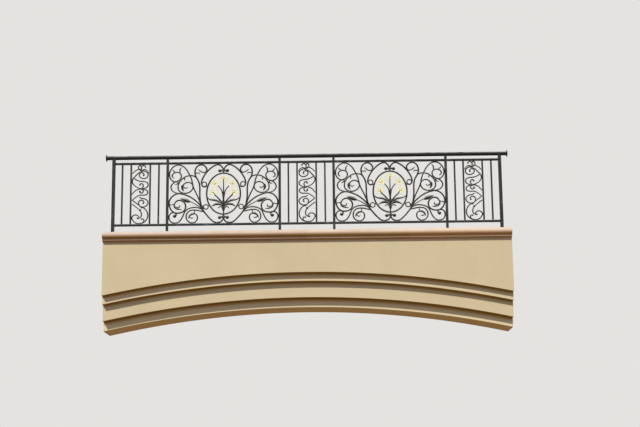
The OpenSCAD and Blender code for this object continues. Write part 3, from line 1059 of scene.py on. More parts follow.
@dataclass(frozen=True)
class LeafShape:
    """How a leaf of sheet iron is beaten, in metres where it isn't a share.

    Attributes:
        across: where its points lie across it, as shares of half its width.
        length: the longest bit of its midrib without a point.
        full: how full its outline is, lower for fuller.
        deepest: the most that it bulges, as a share of the railing's depth.
        bulge: how much it bulges, as a share of half its width, on top of rise.
        curve: how flat its crown is.
        rib: the midrib's height, and rib_width its width as a share.
        vein: the veins' height, full where half the leaf is vein_from wide.
        vein_waves: how close the veins are across, and vein_lean along it.
        sheet: the sheet's thickness.
        back: how wide its back is, as a share of its front.
    """

    across: Sequence[float] = (-1.0, -0.72, -0.4, -0.12, 0.0, 0.12, 0.4, 0.72, 1.0)
    length: float = 0.006
    full: float = 0.8
    deepest: float = 0.42
    bulge: float = 0.6
    rise: float = 0.002
    curve: float = 1.8
    rib: float = 0.0014
    rib_width: float = 0.14
    vein: float = 0.0008
    vein_from: float = 0.008
    vein_waves: float = 7.0
    vein_lean: float = 1.9
    sheet: float = 0.003
    back: float = 0.96


class Smith:
    """Forges bars, leaves, rings and ball ends in the railing's plane.

    Attributes:
        leaf_shape: how every leaf is beaten.
        rounded: a bar's corner radius as a share of its smaller half.
        corner_steps: how many faces round a bar's corner.
        uneven: how much thinner each of several bars in a row is than the last.
        row: how many bars are in a row.
        drawn: over how many points a bar narrows to its tip.
        wave: how much a bar's width swells and sinks along it, and waves how often.
        tips: reach and width of a bar's rounded tip, as shares of its half width.
        waist: a collar's least width and depth as shares, and bead what its beads add.
        collar_steps: how many steps up a collar.
        pole: how far a ball's first ring is from its front, in degrees.
        ball_steps: how many steps from a ball's front to its back.
        oval_sides: how many sides an oval has, and likewise a ring and a ball.
    """

    leaf_shape: LeafShape = LeafShape()
    rounded: float = 0.7
    corner_steps: int = 2
    uneven: float = 0.012
    row: int = 5
    drawn: int = 6
    wave: float = 0.025
    waves: float = 1.7
    tips: Sequence[Point] = ((0.4, 0.85), (0.65, 0.5))
    waist: Point = (0.84, 0.8)
    bead: Point = (0.16, 0.4)
    collar_steps: int = 12
    pole: float = 6.0
    ball_steps: int = 8
    oval_sides: int = 96
    ring_sides: int = 36
    ball_sides: int = 14

    def __init__(self, opening: Opening) -> None:
        """Starts a piece in an opening.

        Args:
            opening: the opening that the piece fills.
        """
        self.opening = opening
        self.draft = Draft()
        self.flip = 1.0
        self.made = 0

    def put(self, p: Vector, y: float) -> tuple[float, float, float]:
        """A point of the opening, y behind the railing's middle plane."""
        o = self.opening
        return (o.middle.x + self.flip * p.x, o.rail_y + y, o.middle.y + p.y)

    def section(self, half: float, deep: float) -> list[tuple[float, float]]:
        """A rounded rectangle around a bar's middle: across and deep.

        Args:
            half: half the bar's width.
            deep: half its depth.

        Returns:
            The section's points in order.
        """
        r = self.rounded * min(half, deep)
        out = []
        for sx, sy, start in ((1, 1, 0), (-1, 1, 90), (-1, -1, 180), (1, -1, 270)):
            for k in range(self.corner_steps + 1):
                a = math.radians(start + 90 / self.corner_steps * k)
                out.append((sx * (half - r) + r * math.cos(a), sy * (deep - r) + r * math.sin(a)))
        return out

    def forge(self, c: Line, halves: Sequence[float], deeps: Sequence[float], closed: bool = False) -> None:
        """Draws a bar with one rounded section at each point of the line c.

        Args:
            c: the bar's middle line.
            halves: half its width at each point.
            deeps: half its depth at each point.
            closed: whether the line runs back into its start.
        """
        rings = [
            [self.put(p + s * u, y) for u, y in self.section(half, deep)]
            for p, s, half, deep in zip(c, Smooth.sides(c, closed), halves, deeps)
        ]
        self.draft.skin(rings, closed)

    def next_depth(self) -> float:
        """Half a bar's depth, slightly different for each bar."""
        self.made += 1
        return self.opening.depth / 2 * (1 - self.uneven * (self.made % self.row))

    def even(self, c: Line, width: float, closed: bool = True) -> None:
        """A bar of one face width along the line c, closed unless said."""
        self.forge(c, [width / 2] * len(c), [self.next_depth()] * len(c), closed)

    def bar(self, points: Iterable[Point], width: float, tip: float = 0.7) -> None:
        """A scroll bar, drawn out and rounded at its tip.

        Args:
            points: the drawn points of its middle line.
            width: its face width.
            tip: the share of the width left at its tip.
        """
        c = Smooth.through([self.opening.spot(q) for q in points])
        n = len(c) - 1
        deep = self.next_depth()
        halves = []
        for i in range(n + 1):
            taper = 1 - (1 - tip) * max(0.0, (i - n + self.drawn) / self.drawn)
            halves.append(width / 2 * taper * (1 + self.wave * math.sin(self.waves * i + self.made)))
        deeps = [deep] * (n + 1)
        end = halves[-1]
        way = (c[-1] - c[-2]).normalized()
        for reach, share in self.tips:
            c.append(c[n] + way * end * reach)
            halves.append(end * share)
            deeps.append(deep - end * (1 - share))
        self.forge(c, halves, deeps)

    def bars(self, lines: Paths, width: float) -> None:
        """Several scroll bars of one width."""
        for points in lines:
            self.bar(points, width)

    def tie(self, at: Point, to: Point, r: float, width: float) -> None:
        """A short straight bar from the ring of radius r around at to a drawn point.

        Args:
            at: the ring's drawn middle.
            to: the bar's far end, as drawn.
            r: the ring's radius.
            width: the bar's face width.
        """
        a = self.opening.spot(at)
        b = self.opening.spot(to)
        a += (b - a).normalized() * r
        self.even([a, b], width, closed=False)

    def oval(self, mid: Point, half: Point, width: float) -> None:
        """A closed oval bar around a drawn point.

        Args:
            mid: its drawn middle.
            half: half its width and height, as drawn.
            width: the bar's face width.
        """
        centre = self.opening.spot(mid)
        size = {"wide": half[0] * self.opening.across, "high": half[1] * self.opening.up}
        self.even([centre + way for way in around(self.oval_sides, **size)], width)

    def ring(self, at: Point, r: float, width: float) -> None:
        """A round ring of middle radius r around a drawn point."""
        centre = self.opening.spot(at)
        self.even([centre + r * way for way in around(self.ring_sides)], width)

    def collar(self, at: Point, width: float, height: float) -> None:
        """A collar of two beads wrapped round the bars at a drawn point.

        Args:
            at: its drawn middle.
            width: its width over the beads.
            height: its height.
        """
        centre = self.opening.spot(at)
        deep = self.next_depth()
        shares = [k / self.collar_steps for k in range(self.collar_steps + 1)]
        beads = [abs(math.sin(math.tau * share)) for share in shares]
        c = [centre + Vector((0.0, height * (share - 0.5))) for share in shares]
        halves = [width / 2 * (self.waist[0] + self.bead[0] * bead) for bead in beads]
        self.forge(c, halves, [deep * (self.waist[1] + self.bead[1] * bead) for bead in beads])

    def leaf(self, points: Iterable[Point], width: float, tip: float = 0.002) -> None:
        """A leaf of sheet iron, hollow behind and with a raised midrib.

        Args:
            points: the drawn points of its midrib.
            width: its greatest width.
            tip: half its width at the two ends.
        """
        form = self.leaf_shape
        c = Smooth.through([self.opening.spot(q) for q in points], form.length)
        n = len(c) - 1
        rings = []
        for i, (p, s) in enumerate(zip(c, Smooth.sides(c))):
            half = tip + (width / 2 - tip) * math.sin(math.pi * (i / n) ** form.full) ** form.full
            crown = min(self.opening.depth * form.deepest, form.bulge * half + form.rise)
            front = []
            back = []
            for u in form.across:
                rib = form.rib * max(0.0, 1 - abs(u) / form.rib_width)
                wave = math.sin(form.vein_waves * abs(u) - form.vein_lean * i)
                vein = form.vein * wave * min(1.0, half / form.vein_from)
                y = -crown * (1 - abs(u) ** form.curve) - rib - vein
                front.append(self.put(p + s * u * half, y))
                back.append(self.put(p + s * u * half * form.back, y + form.sheet + rib))
            rings.append(front + back[::-1])
        self.draft.skin(rings)

    def leaves(self, lines: Paths, width: float) -> None:
        """Several leaves of one width."""
        for points in lines:
            self.leaf(points, width)

    def ball(self, at: Point, r: float, deep: float = 0.85) -> None:
        """A ball end of radius r around a drawn point, deep times as thick.

        Args:
            at: its drawn middle.
            r: its radius.
            deep: its thickness as a share of its width.
        """
        step = (180 - 2 * self.pole) / self.ball_steps
        turns = [math.radians(self.pole + step * i) for i in range(self.ball_steps + 1)]
        profile = [(r * math.sin(a), -deep * r * math.cos(a)) for a in turns]
        self.draft.turned(self.put, self.opening.spot(at), profile, self.ball_sides)


@dataclass
class WidePanel:
    """A wide panel of scrolls around an oval, mirrored about its middle.

    The lines are drawn from the middle of the bottom rail's top, and Opening sets
    them in place. The widths and radii after them are shares of the bar's width,
    husk_tip is in metres, and ball_depth is a share of the ball's radius.
    """

    node: str
    bar: float = 0.0165
    frame: float = 0.019
    oval_mid: Point = (0, 362)
    oval_half: Point = (203, 253)
    rings: Sequence[Point] = ((233, 479), (212, 200))
    ties: Paths = (
        ((233, 479), (266, 486)), ((212, 200), (262, 203)), ((212, 200), (159, 221)),
    )
    balls: Sequence[Point] = ((-46, 68), (-46, 646), (586, 90))
    links: Paths = (((0, 50), (0, 110)), ((0, 614), (0, 662)))
    collars: Sequence[Point] = ((0, 76), (0, 650))
    husk: Sequence[Point] = ((247, 156), (258, 190), (268, 226))
    frames: Paths = (
        (
            (-46, 68), (-24, 76), (0, 56), (24, 22), (62, 6), (106, 11), (156, 50), (208, 108),
            (244, 158), (264, 208), (278, 265), (286, 350), (286, 430), (292, 485), (306, 525),
            (330, 565), (344, 605), (344, 650), (322, 698), (272, 722), (222, 700), (204, 655),
            (222, 628), (250, 626),
        ),
        (
            (-46, 646), (-22, 646), (0, 662), (24, 698), (62, 722), (104, 713), (150, 684),
            (194, 641), (228, 596), (254, 548), (266, 506), (262, 472), (244, 451), (216, 449),
            (192, 460),
        ),
        (
            (266, 204), (302, 246), (346, 286), (394, 320), (440, 343), (490, 360), (540, 368),
            (592, 352), (636, 310), (654, 262), (650, 218), (630, 168), (592, 134), (546, 127),
            (498, 138), (466, 166), (455, 210), (468, 250), (498, 276), (534, 285), (570, 270),
            (588, 238),
        ),
    )
    scrolls: Paths = (
        (
            (272, 220), (292, 285), (320, 350), (346, 402), (367, 455), (380, 515), (394, 562),
            (418, 612), (446, 660), (484, 700), (526, 720), (566, 721), (612, 696), (644, 652),
            (654, 603), (644, 558), (614, 524), (576, 514), (540, 530), (514, 562), (514, 602),
            (540, 627), (580, 631), (612, 612), (620, 580), (600, 560),
        ),
        (
            (330, 562), (352, 580), (385, 588), (430, 586), (474, 568), (512, 534), (540, 492),
            (549, 450), (540, 408), (510, 382), (462, 371), (414, 382), (380, 412), (368, 452),
            (384, 488), (424, 506), (466, 494), (490, 462), (486, 424),
        ),
        ((548, 520), (590, 508), (622, 480), (634, 446), (622, 410), (592, 384), (552, 374)),
        (
            (260, 172), (302, 190), (348, 196), (394, 189), (432, 174), (464, 144), (480, 106),
            (500, 62), (528, 26), (562, 7), (600, 7), (634, 24), (652, 62), (650, 100), (630, 126),
            (600, 134), (574, 122), (568, 102), (586, 90),
        ),
        (
            (240, 142), (284, 152), (328, 161), (366, 163), (404, 155), (434, 130), (447, 94),
            (444, 54), (420, 22), (384, 6), (346, 12), (320, 38), (312, 72), (324, 104), (352, 118),
        ),
    )
    thin: Paths = (
        ((255, 182), (306, 214), (346, 238), (384, 258), (408, 270)),
        ((352, 162), (347, 138), (352, 114)),
        ((652, 232), (616, 232), (588, 246)),
        ((344, 628), (322, 618), (300, 622), (290, 606)),
    )
    buds: Paths = (
        ((244, 622), (275, 640), (308, 668)),
        ((506, 694), (528, 662), (526, 628), (512, 596)),
        ((616, 668), (600, 644), (572, 634)),
        ((488, 470), (470, 440), (448, 434), (434, 452)),
        ((484, 560), (470, 545), (476, 528)),
        ((550, 519), (564, 486), (590, 480)),
        ((586, 214), (562, 199), (540, 197), (526, 210), (536, 226)),
        ((410, 88), (396, 70), (376, 64), (360, 74)),
    )
    leaves: Paths = (
        ((494, 480), (498, 432), (474, 394)),
        ((592, 244), (584, 200), (548, 178), (500, 173)),
        ((330, 112), (372, 116), (408, 92), (416, 54)),
    )
    broad_leaf: Sequence[Point] = ((396, 262), (450, 282), (520, 308))
    thin_width: float = 0.75
    leaf_width: float = 1.6
    broad_width: float = 2.8
    husk_width: float = 2.5
    husk_tip: float = 0.004
    ring_radius: float = 1.7
    ring_width: float = 0.8
    ball_radius: float = 1.3
    ball_depth: float = 0.6
    collar_size: Point = (2.4, 1.8)

    def opening(self) -> Opening:
        """The opening between the posts and the rails."""
        return Opening(self.node, self.bar, (*self.frames, *self.scrolls))

    def half(self, smith: Smith) -> None:
        """Forges one half of the panel.

        Args:
            smith: forges it.
        """
        bar = self.bar
        smith.bars(self.frames, self.frame)
        smith.bars(self.scrolls, bar)
        smith.bars(self.thin, self.thin_width * bar)
        smith.leaves(self.buds, bar)
        smith.leaves(self.leaves, self.leaf_width * bar)
        smith.leaf(self.broad_leaf, self.broad_width * bar)
        for at in self.rings:
            smith.ring(at, self.ring_radius * bar, self.ring_width * bar)
        for at, to in self.ties:
            smith.tie(at, to, self.ring_radius * bar, self.ring_width * bar)
        for at in self.balls:
            smith.ball(at, self.ball_radius * bar, self.ball_depth)
        smith.draft.finish = 1
        smith.leaf(self.husk, self.husk_width * bar, self.husk_tip)
        smith.draft.finish = 0

    def build(self, palette: Palette) -> None:
        """Forges the whole panel.

        Args:
            palette: the balcony's materials.
        """
        smith = Smith(self.opening())
        for smith.flip in (1.0, -1.0):
            self.half(smith)
        smith.oval(self.oval_mid, self.oval_half, self.frame)
        for link in self.links:
            smith.bar(link, self.bar, tip=1.0)
        smith.draft.finish = 1
        width, height = self.collar_size
        for at in self.collars:
            smith.collar(at, width * self.bar, height * self.bar)
        smith.draft.stand_for(self.node, "_forged", Slot.IRON, palette["scroll"], palette["joint"])


@dataclass(frozen=True)
class Flower:
    """A gilded flower of folded petals round a button with beads.

    Lengths are shares of its radius unless they are said to be metres.

    Attributes:
        radius: how far its petals reach, in metres.
        sheet: how thick a petal is at its middle in metres, on top of skin.
        petals: how many petals.
        across: where a petal's points lie across it.
        steps: how many steps along a petal, the first of them darker.
        root: where a petal starts.
        neck: half a petal's least width, and belly what it swells by.
        belly_at: where it is widest, higher for further out, and full how pointed.
        tip: the width left at its end, as a share.
        lift: how far its sides rise, and crease how deep its fold is.
        crease_width: how wide the fold is, as a share of the petal.
        thin: how much thinner its edge is, as a share of sheet.
        cups: where it starts to bend forward, over how long and how far, twice.
        button: radius and height of the round middle, from its foot.
        button_sides: how many sides it has.
        bead: the same for a bead, its radius as shares of bead_size.
        bead_sides: how many sides a bead has.
        beads: how many beads.
        beads_at: how far out they sit, the first of them turned by bead_turn degrees.
    """

    radius: float = 0.051
    sheet: float = 0.0028
    skin: float = 0.001
    petals: int = 5
    across: Sequence[float] = (-1.0, -0.75, -0.4, -0.12, 0.0, 0.12, 0.4, 0.75, 1.0)
    steps: int = 12
    dark_steps: int = 3
    root: float = 0.16
    neck: float = 0.06
    belly: float = 0.22
    belly_at: float = 1.45
    full: float = 1.2
    tip: float = 0.4
    lift: float = 0.03
    crease: float = 0.02
    crease_width: float = 0.4
    thin: float = 0.35
    cups: Sequence[Point] = ((0.3, 0.45, 0.03), (0.75, 0.35, 0.02))
    button: Sequence[Point] = (
        (0.27, 0.0), (0.28, 0.05), (0.24, 0.1), (0.15, 0.12), (0.12, 0.1), (0.11, 0.17), (0.04, 0.2),
    )
    button_sides: int = 18
    bead: Sequence[Point] = ((1.0, 0.09), (0.85, 0.125), (0.4, 0.145))
    bead_size: float = 0.04
    bead_sides: int = 6
    beads: int = 8
    beads_at: float = 0.195
    bead_turn: float = 10.0

    def cup(self, share: float) -> float:
        """How far forward a petal's back is at a share of its length."""
        bends = [min(1.0, max(0.0, (share - at) / over)) * far for at, over, far in self.cups]
        return self.radius * sum(bends)

    def petal(self, draft: Draft, put: Put, angle: float) -> None:
        """One lozenge of sheet iron with a crease along its middle.

        Args:
            draft: where it is drawn.
            put: gives the place of a point of the flower.
            angle: the petal's direction from upright, in radians.
        """
        r = self.radius
        along = Vector((math.sin(angle), math.cos(angle)))
        aside = Vector((along.y, -along.x))
        rings = []
        for k in range(self.steps + 1):
            t = self.root + (1 - self.root) * k / self.steps
            swell = max(0.0, math.sin(math.pi * (k / self.steps) ** self.belly_at))
            half = r * (self.neck + self.belly * swell**self.full)
            half *= 1 if k < self.steps else self.tip
            front = []
            back = []
            for u in self.across:
                q = along * r * t + aside * half * u
                crease = self.crease * max(0.0, 1 - abs(u) / self.crease_width)
                fold = r * (self.lift * u * u - crease) * swell
                edge = self.sheet * (1 - self.thin * u * u)
                front.append(put(q, self.cup(t) + fold + edge + self.skin))
                back.append(put(q, self.cup(t) + fold))
            rings.append(front + back[::-1])
        draft.finish = 1
        draft.skin(rings[: self.dark_steps + 1])
        draft.finish = 0
        draft.skin(rings[self.dark_steps :])

    def draw(self, draft: Draft, put: Put, start: float) -> None:
        """Draws the flower.

        Args:
            draft: where it is drawn.
            put: gives the place of a point of the flower.
            start: its first petal's direction from upright, in radians.
        """
        r = self.radius
        for k in range(self.petals):
            self.petal(draft, put, start + math.radians(360 / self.petals * k))
        draft.finish = 2
        profile = [(r * share, r * rise) for share, rise in self.button]
        draft.turned(put, Vector((0.0, 0.0)), profile, self.button_sides)
        profile = [(self.bead_size * r * share, r * rise) for share, rise in self.bead]
        for way in around(self.beads, self.bead_turn):
            draft.turned(put, self.beads_at * r * way, profile, self.bead_sides)


@dataclass
class Spray:
    """Stems and leaves inside the oval of a wide panel, with their flowers.

    The widths are shares of the panel's bar. A flower leans by the degrees given,
    and by up to sway more or less.
    """

    panel: WidePanel
    stem_node: str
    flower_node: str
    rise: Sequence[Point] = ((0, 104), (0, 300), (0, 548))
    trunk: Sequence[Point] = ((0, 138), (0, 224), (0, 310))
    curves: Paths = (
        ((2, 290), (10, 345), (19, 393), (44, 434), (76, 466), (107, 485)),
        ((0, 150), (8, 178), (28, 196), (50, 198), (63, 184)),
    )
    low_stem: Sequence[Point] = ((0, 215), (14, 246), (40, 280), (74, 316), (108, 350), (127, 380))
    upper_leaf: Sequence[Point] = ((0, 222), (60, 267), (112, 282), (160, 290), (204, 331))
    lower_leaf: Sequence[Point] = ((0, 196), (30, 226), (70, 236), (108, 226), (146, 200))
    spots: Sequence[Point] = ((0, 548), (107, 485), (127, 380))
    leans: Sequence[float] = (0, 9, 180)
    rise_width: float = 0.9
    trunk_width: float = 2.6
    curve_width: float = 0.85
    low_width: float = 1.1
    upper_width: float = 1.6
    lower_width: float = 2.0
    sway: float = 3.0
    flower: Flower = Flower()

    def stems(self, smith: Smith, palette: Palette) -> None:
        """Forges the stems and leaves.

        Args:
            smith: forges it.
            palette: the balcony's materials.
        """
        bar = self.panel.bar
        smith.bar(self.rise, self.rise_width * bar)
        smith.leaf(self.trunk, self.trunk_width * bar)
        for smith.flip in (1.0, -1.0):
            smith.bars(self.curves, self.curve_width * bar)
            smith.bar(self.low_stem, self.low_width * bar)
            smith.leaf(self.upper_leaf, self.upper_width * bar)
            smith.leaf(self.lower_leaf, self.lower_width * bar)
        smith.draft.stand_for(self.stem_node, "_forged", Slot.IRON, palette["scroll"])

    def flowers(self, opening: Opening, palette: Palette) -> None:
        """Makes the flowers in front of the stems.

        Args:
            opening: the opening of the wide panel.
            palette: the balcony's materials.
        """
        draft = Draft()
        chance = random.Random(self.flower_node)
        back = opening.rail_y - opening.depth / 2
        for side in (1.0, -1.0):
            for at, lean in zip(self.spots, self.leans):
                if side < 0 and at[0] == 0:
                    continue
                spot = opening.spot((side * at[0], at[1])) + opening.middle

                def put(q: Vector, rise: float, spot: Vector = spot) -> tuple[float, float, float]:
                    """A point of the flower in the frame."""
                    return (spot.x + q.x, back - rise, spot.y + q.y)

                start = math.radians(side * lean + chance.uniform(-self.sway, self.sway))
                self.flower.draw(draft, put, start)
        paints = (palette["gold"], palette["root"], palette["button"])
        draft.stand_for(self.flower_node, "_gilded", Slot.GOLD, *paints)

    def build(self, palette: Palette) -> None:
        """Makes the stems and the flowers.

        Args:
            palette: the balcony's materials.
        """
        opening = self.panel.opening()
        self.stems(Smith(opening), palette)
        self.flowers(opening, palette)


@dataclass
class NarrowPanel:
    """A narrow panel of small scrolls.

    The lines are drawn as a wide panel's are, and hand is -1 where they are turned
    over. A ball's radius is a share of the bar's width.
    """

    node: str
    hand: float
    bar: float = 0.0148
    joints: Sequence[Point] = ((-24, 658), (-14, 432), (-20, 206), (2, 172))
    balls: Sequence[Point] = (
        (-38, 600), (4, 484), (6, 400), (-38, 254), (31, 70), (-22, 60), (-60, 704), (2, 718),
    )
    scrolls: Paths = (
        ((-24, 658), (-8, 676), (-12, 706), (-34, 722), (-58, 708)),
        ((-24, 658), (6, 664), (28, 688), (24, 714), (4, 722)),
        ((-22, 662), (14, 676), (52, 664), (102, 622)),
        ((-24, 662), (-52, 672), (-82, 656), (-102, 626)),
        (
            (-24, 658), (-62, 646), (-94, 612), (-86, 578), (-54, 560), (-12, 566), (15, 592),
            (10, 622), (-18, 632), (-42, 612), (-36, 592),
        ),
        (
            (-20, 650), (22, 632), (62, 594), (96, 556), (102, 512), (76, 474), (38, 450),
            (-14, 432),
        ),
        ((88, 568), (46, 540), (2, 526), (-46, 522), (-92, 500), (-92, 464), (-58, 440), (-14, 432)),
        ((-14, 432), (-34, 462), (-26, 492), (0, 494), (10, 474)),
        ((-14, 432), (-48, 426), (-92, 396), (-86, 366), (-44, 354), (6, 354), (54, 330), (100, 292)),
        ((100, 292), (58, 262), (14, 230), (-20, 206)),
        ((-14, 432), (34, 426), (70, 404), (102, 364)),
        ((-14, 432), (-36, 408), (-22, 382), (6, 388), (12, 408)),
        (
            (8, 330), (-16, 314), (-54, 308), (-90, 284), (-98, 252), (-78, 222), (-38, 208),
            (4, 220), (20, 252), (8, 284), (-24, 290), (-46, 268), (-36, 248),
        ),
        ((102, 244), (62, 216), (28, 190), (2, 172)),
        (
            (-20, 206), (-62, 184), (-90, 142), (-98, 96), (-84, 54), (-48, 20), (0, 6),
            (50, 12), (88, 44), (102, 76), (88, 100), (54, 112), (22, 98), (14, 76), (30, 66),
        ),
        ((2, 172), (-14, 138), (-19, 104), (-4, 78), (18, 68)),
        ((-28, 14), (-48, 34), (-42, 60), (-22, 62)),
    )
    ball_radius: float = 0.75

    def build(self, palette: Palette) -> None:
        """Forges the panel.

        Args:
            palette: the balcony's materials.
        """
        smith = Smith(Opening(self.node, self.bar, self.scrolls))
        smith.flip = self.hand
        smith.bars(self.scrolls, self.bar)
        for at in self.joints:
            smith.ball(at, self.bar)
        for at in self.balls:
            smith.ball(at, self.ball_radius * self.bar)
        smith.draft.stand_for(self.node, "_forged", Slot.IRON, palette["scroll"])


@dataclass
class Railing:
    """Posts, rails, plain bars, the round handrail and the panels.

    Attributes:
        bays: how many bays.
        handrail_edge: how wide the handrail's edges are worn, in metres.
        post_edge: the same for posts, rail_edge for rails and bar_edge for plain bars.
    """

    bays: int = 5
    handrail_edge: float = 0.001
    post_edge: float = 0.002
    rail_edge: float = 0.006
    bar_edge: float = 0.002

    def build(self, palette: Palette) -> None:
        """Dresses the straight iron and forges the panels.

        Args:
            palette: the balcony's materials.
        """
        palette.dress("handrail", "handrail", Slot.HANDRAIL, self.handrail_edge)
        for i in range(1, self.bays + 2):
            palette.dress(f"post_{i}", "post", Slot.IRON, self.post_edge)
        for i in range(1, self.bays + 1):
            palette.dress(f"top_rail_{i}", "rail", Slot.IRON, self.rail_edge)
            palette.dress(f"bottom_rail_{i}", "rail", Slot.IRON, self.rail_edge)
        for side in ("left", "centre", "right"):
            palette.dress(f"{side}_bay_bars", "post", Slot.IRON, self.bar_edge)
            NarrowPanel(f"{side}_narrow_panel", -1.0 if side == "left" else 1.0).build(palette)
        for side in ("left", "right"):
            panel = WidePanel(f"{side}_wide_panel")
            panel.build(palette)
            Spray(panel, f"{side}_spray", f"{side}_flowers").build(palette)


@dataclass
class WallFlange:
    """A round wall flange with its four screws.

    Attributes:
        node: the flange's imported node.
        side: 1 for the right flange, -1 for the left one.
        edge: how wide its edges are worn, in metres.
        screws: how many screws.
        circle: how far from its middle they sit, in metres.
        first: the first screw's angle, in degrees.
        head: half a screw head's width, in metres.
        sides: how many sides the head has.
        profile: its radius and height from its foot, as shares of head.
    """

    node: str
    side: float
    edge: float = 0.0012
    screws: int = 4
    circle: float = 0.0325
    first: float = 45.0
    head: float = 0.0052
    sides: int = 18
    profile: Sequence[Point] = (
        (0.5, -1.0), (0.5, 0.02), (1.0, 0.02), (1.0, 0.12), (0.85, 0.4), (0.5, 0.52),
        (0.42, 0.5), (0.38, 0.15),
    )

    def build(self, palette: Palette) -> None:
        """Dresses the flange and adds domed screw heads.

        Args:
            palette: the balcony's materials.
        """
        palette.dress(self.node, "handrail", Slot.HANDRAIL, self.edge)
        low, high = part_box(self.node)
        middle = (low + high) / 2
        face = low.x if self.side > 0 else high.x

        def put(q: Vector, rise: float) -> tuple[float, float, float]:
            """A point on the flange, rise before its face."""
            return (face - self.side * rise, middle.y + q.x, middle.z + q.y)

        draft = Draft()
        profile = [(self.head * share, self.head * rise) for share, rise in self.profile]
        for way in around(self.screws, self.first):
            draft.turned(put, self.circle * way, profile, self.sides)
        draft.make(self.node + "_screws", Slot.HANDRAIL, palette["screw"])


@dataclass
class Coping:
    """The moulded stones under the railing.

    Attributes:
        edge: how wide their edges are worn, in metres.
        stones: how many stones.
    """

    edge: float = 0.0035
    stones: int = 4

    def build(self, palette: Palette) -> None:
        """Dresses each stone."""
        for i in range(1, self.stones + 1):
            palette.dress(f"coping_stone_{i}", f"stone_{i}", Slot.COPING, self.edge)


@dataclass
class ArchedBeam:
    """The rendered beam with its three stepped bands.

    Attributes:
        edge: how wide its edges are worn, in metres.
    """

    edge: float = 0.004

    def build(self, palette: Palette) -> None:
        """Dresses the face and the bands.

        Args:
            palette: the balcony's materials.
        """
        palette.dress("beam_face", "stucco", Slot.STUCCO, self.edge)
        palette.dress("upper_arch_band", "band", Slot.BAND, self.edge)
        palette.dress("middle_arch_band", "stucco", Slot.STUCCO, self.edge)
        palette.dress("lower_arch_band", "soffit", Slot.BAND, self.edge)


@dataclass
class FloorDeck:
    """The floor slab and the clay tiles laid on it.

    Attributes:
        slab_edge: how wide the slab's edges are worn.
        columns: how many tiles side by side, and rows from front to back.
        joint: the gap between two tiles.
        chamfer: the tiles' bevelled edge, and mortar_chamfer the mortar's.
        bed: how deep the tiles sit in the mortar, from the paving's foot.
        recess: how far the joints lie below the tiles.
        uneven: the most that a tile lies too low, by draws from seed.
    """

    slab_edge: float = 0.003
    columns: int = 16
    rows: int = 3
    joint: float = 0.004
    chamfer: float = 0.0015
    mortar_chamfer: float = 0.001
    bed: float = 0.008
    recess: float = 0.003
    uneven: float = 0.0006
    seed: int = 5

    @staticmethod
    def block(draft: Draft, low: Point, high: Point, chamfer: float) -> None:
        """A tile with chamfered upper edges between two corners.

        Args:
            draft: where it is drawn.
            low: its lowest corner.
            high: its highest corner.
            chamfer: how wide the chamfer is.
        """
        rings = []
        for z, inset in ((low[2], 0.0), (high[2] - chamfer, 0.0), (high[2], chamfer)):
            x0, y0 = low[0] + inset, low[1] + inset
            x1, y1 = high[0] - inset, high[1] - inset
            rings.append([(x0, y0, z), (x1, y0, z), (x1, y1, z), (x0, y1, z)])
        draft.skin(rings)

    def build(self, palette: Palette) -> None:
        """Dresses the slab and lays the tiles.

        Args:
            palette: the balcony's materials.
        """
        palette.dress("floor_slab", "concrete", Slot.SLAB, self.slab_edge)
        low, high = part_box("floor_paving")
        chance = random.Random(self.seed)
        draft = Draft(smooth=False)
        step_x = (high.x - low.x) / self.columns
        step_y = (high.y - low.y) / self.rows
        for i in range(self.columns):
            for j in range(self.rows):
                x = low.x + i * step_x + self.joint / 2
                y = low.y + j * step_y + self.joint / 2
                top = high.z - chance.uniform(0.0, self.uneven)
                far = (x + step_x - self.joint, y + step_y - self.joint, top)
                self.block(draft, (x, y, low.z + self.bed), far, self.chamfer)
        draft.finish = 1
        self.block(draft, low, (high.x, high.y, high.z - self.recess), self.mortar_chamfer)
        draft.stand_for("floor_paving", "_tiles", Slot.PAVING, palette["tile"], palette["mortar"])


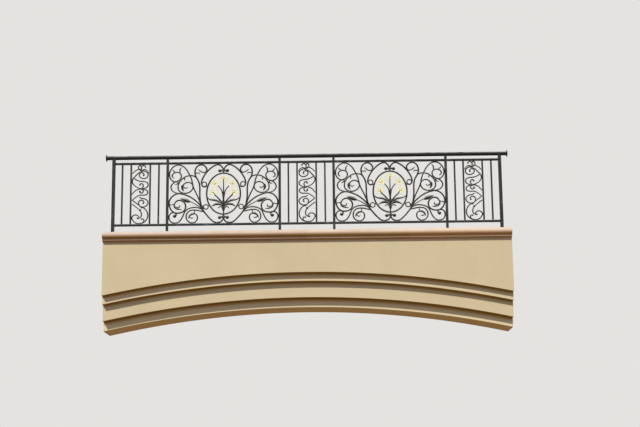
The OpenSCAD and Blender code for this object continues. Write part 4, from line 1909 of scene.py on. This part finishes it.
@dataclass
class Studio:
    """Camera, sun, sky and ground.

    Attributes:
        place: where the camera stands.
        pitch: how far it looks up, in degrees, with yaw to the right and roll.
        focus: its focal length in pixels of a picture that is width wide.
        film: the film's width in millimetres.
        far: how far the camera sees.
        to_sun: the direction of the sun.
        sun: its strength, sun_angle its width in degrees and sunshine its colour.
        sky: the colour that lights the scene, and pale the one that the camera sees.
        ground: the ground's finish.
        ground_z: the ground's height, and ground_half half its side.
    """

    place: Point = (0.2810, -16.6506, -2.8091)
    pitch: float = 11.77
    yaw: float = -0.46
    roll: float = -0.60
    focus: float = 1327.7
    width: float = 640.0
    film: float = 36.0
    far: float = 200.0
    to_sun: Point = (-0.406, -0.579, 0.707)
    sun: float = 3.95
    sun_angle: float = 2.5
    sunshine: Colour = (1.0, 0.985, 0.96)
    sky: Colour = (0.30, 0.42, 0.585)
    pale: Colour = (0.78, 0.77, 0.75)
    ground: Finish = GroundPaint("floor_paint", (0.31, 0.19, 0.097), 0.9)
    ground_z: float = -4.4
    ground_half: float = 60.0

    def camera(self) -> None:
        """Sets up the camera at the photograph's viewing angle."""
        p, y, r = (math.radians(a) for a in (self.pitch, self.yaw, self.roll))
        ahead = Vector((math.sin(y) * math.cos(p), math.cos(y) * math.cos(p), math.sin(p)))
        level = Vector((math.cos(y), -math.sin(y), 0.0))
        below = ahead.cross(level)
        right = math.cos(r) * level - math.sin(r) * below
        down = math.sin(r) * level + math.cos(r) * below
        axes = Matrix((right, -down, -ahead)).transposed()
        data = bpy.data.cameras.new("camera")
        data.sensor_width = self.film
        data.lens = self.film * self.focus / self.width
        data.clip_end = self.far
        camera = stand("camera", data)
        camera.matrix_world = Matrix.Translation(self.place) @ axes.to_4x4()
        bpy.context.scene.camera = camera

    def sunlight(self) -> None:
        """Hangs the sun high at the left of the front."""
        data = bpy.data.lights.new("sun", "SUN")
        data.energy = self.sun
        data.angle = math.radians(self.sun_angle)
        data.color = self.sunshine
        sun = stand("sun", data)
        sun.rotation_euler = Vector(self.to_sun).to_track_quat("Z", "Y").to_euler()

    def backdrop(self) -> None:
        """Lights the scene with a soft sky that the camera sees as a pale background.

        A reflection and a view through glass show the pale background too.
        """
        world = bpy.data.worlds.new("sky")
        world.use_nodes = True
        tree = Tree(world.node_tree)
        path = tree.add("LightPath").outputs
        seen = tree.math("MAXIMUM", path["Is Camera Ray"], path["Is Glossy Ray"])
        seen = tree.math("MAXIMUM", seen, path["Is Transmission Ray"])
        back = world.node_tree.nodes["Background"]
        tree.feed(back.inputs["Color"], tree.mix(seen, self.sky, self.pale))
        bpy.context.scene.world = world

    def floor(self, effects: Effects) -> None:
        """Lays a wide pale floor that throws warm light upwards.

        Args:
            effects: the shared effects.
        """
        mesh = bpy.data.meshes.new("floor")
        s = self.ground_half
        corners = [(x, y, self.ground_z) for x, y in ((-s, -s), (s, -s), (s, s), (-s, s))]
        mesh.from_pydata(corners, [], [(0, 1, 2, 3)])
        mesh.materials.append(self.ground.material(effects))
        stand("floor", mesh)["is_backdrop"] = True

    def build(self, effects: Effects) -> None:
        """Sets up the whole studio.

        Args:
            effects: the shared effects.
        """
        self.camera()
        self.sunlight()
        self.backdrop()
        self.floor(effects)
        bpy.context.scene.view_settings.view_transform = "Standard"


def write_sizes() -> None:
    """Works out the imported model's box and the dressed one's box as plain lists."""
    boxes = {"cad": CAD_BOX, "visual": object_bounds()}
    plain = {key: [list(corner) for corner in box] for key, box in boxes.items()}


def main() -> None:
    """Builds the studio and dresses every part of the balcony."""
    logging.basicConfig(level=logging.INFO, format="%(name)s: %(message)s")
    effects = Effects()
    Studio().build(effects)
    palette = Palette(effects)
    for part in (
        FloorDeck(),
        ArchedBeam(),
        Coping(),
        Railing(),
        WallFlange("left_wall_flange", -1.0),
        WallFlange("right_wall_flange", 1.0),
    ):
        part.build(palette)
    write_sizes()


if __name__ == "__main__":
    main()
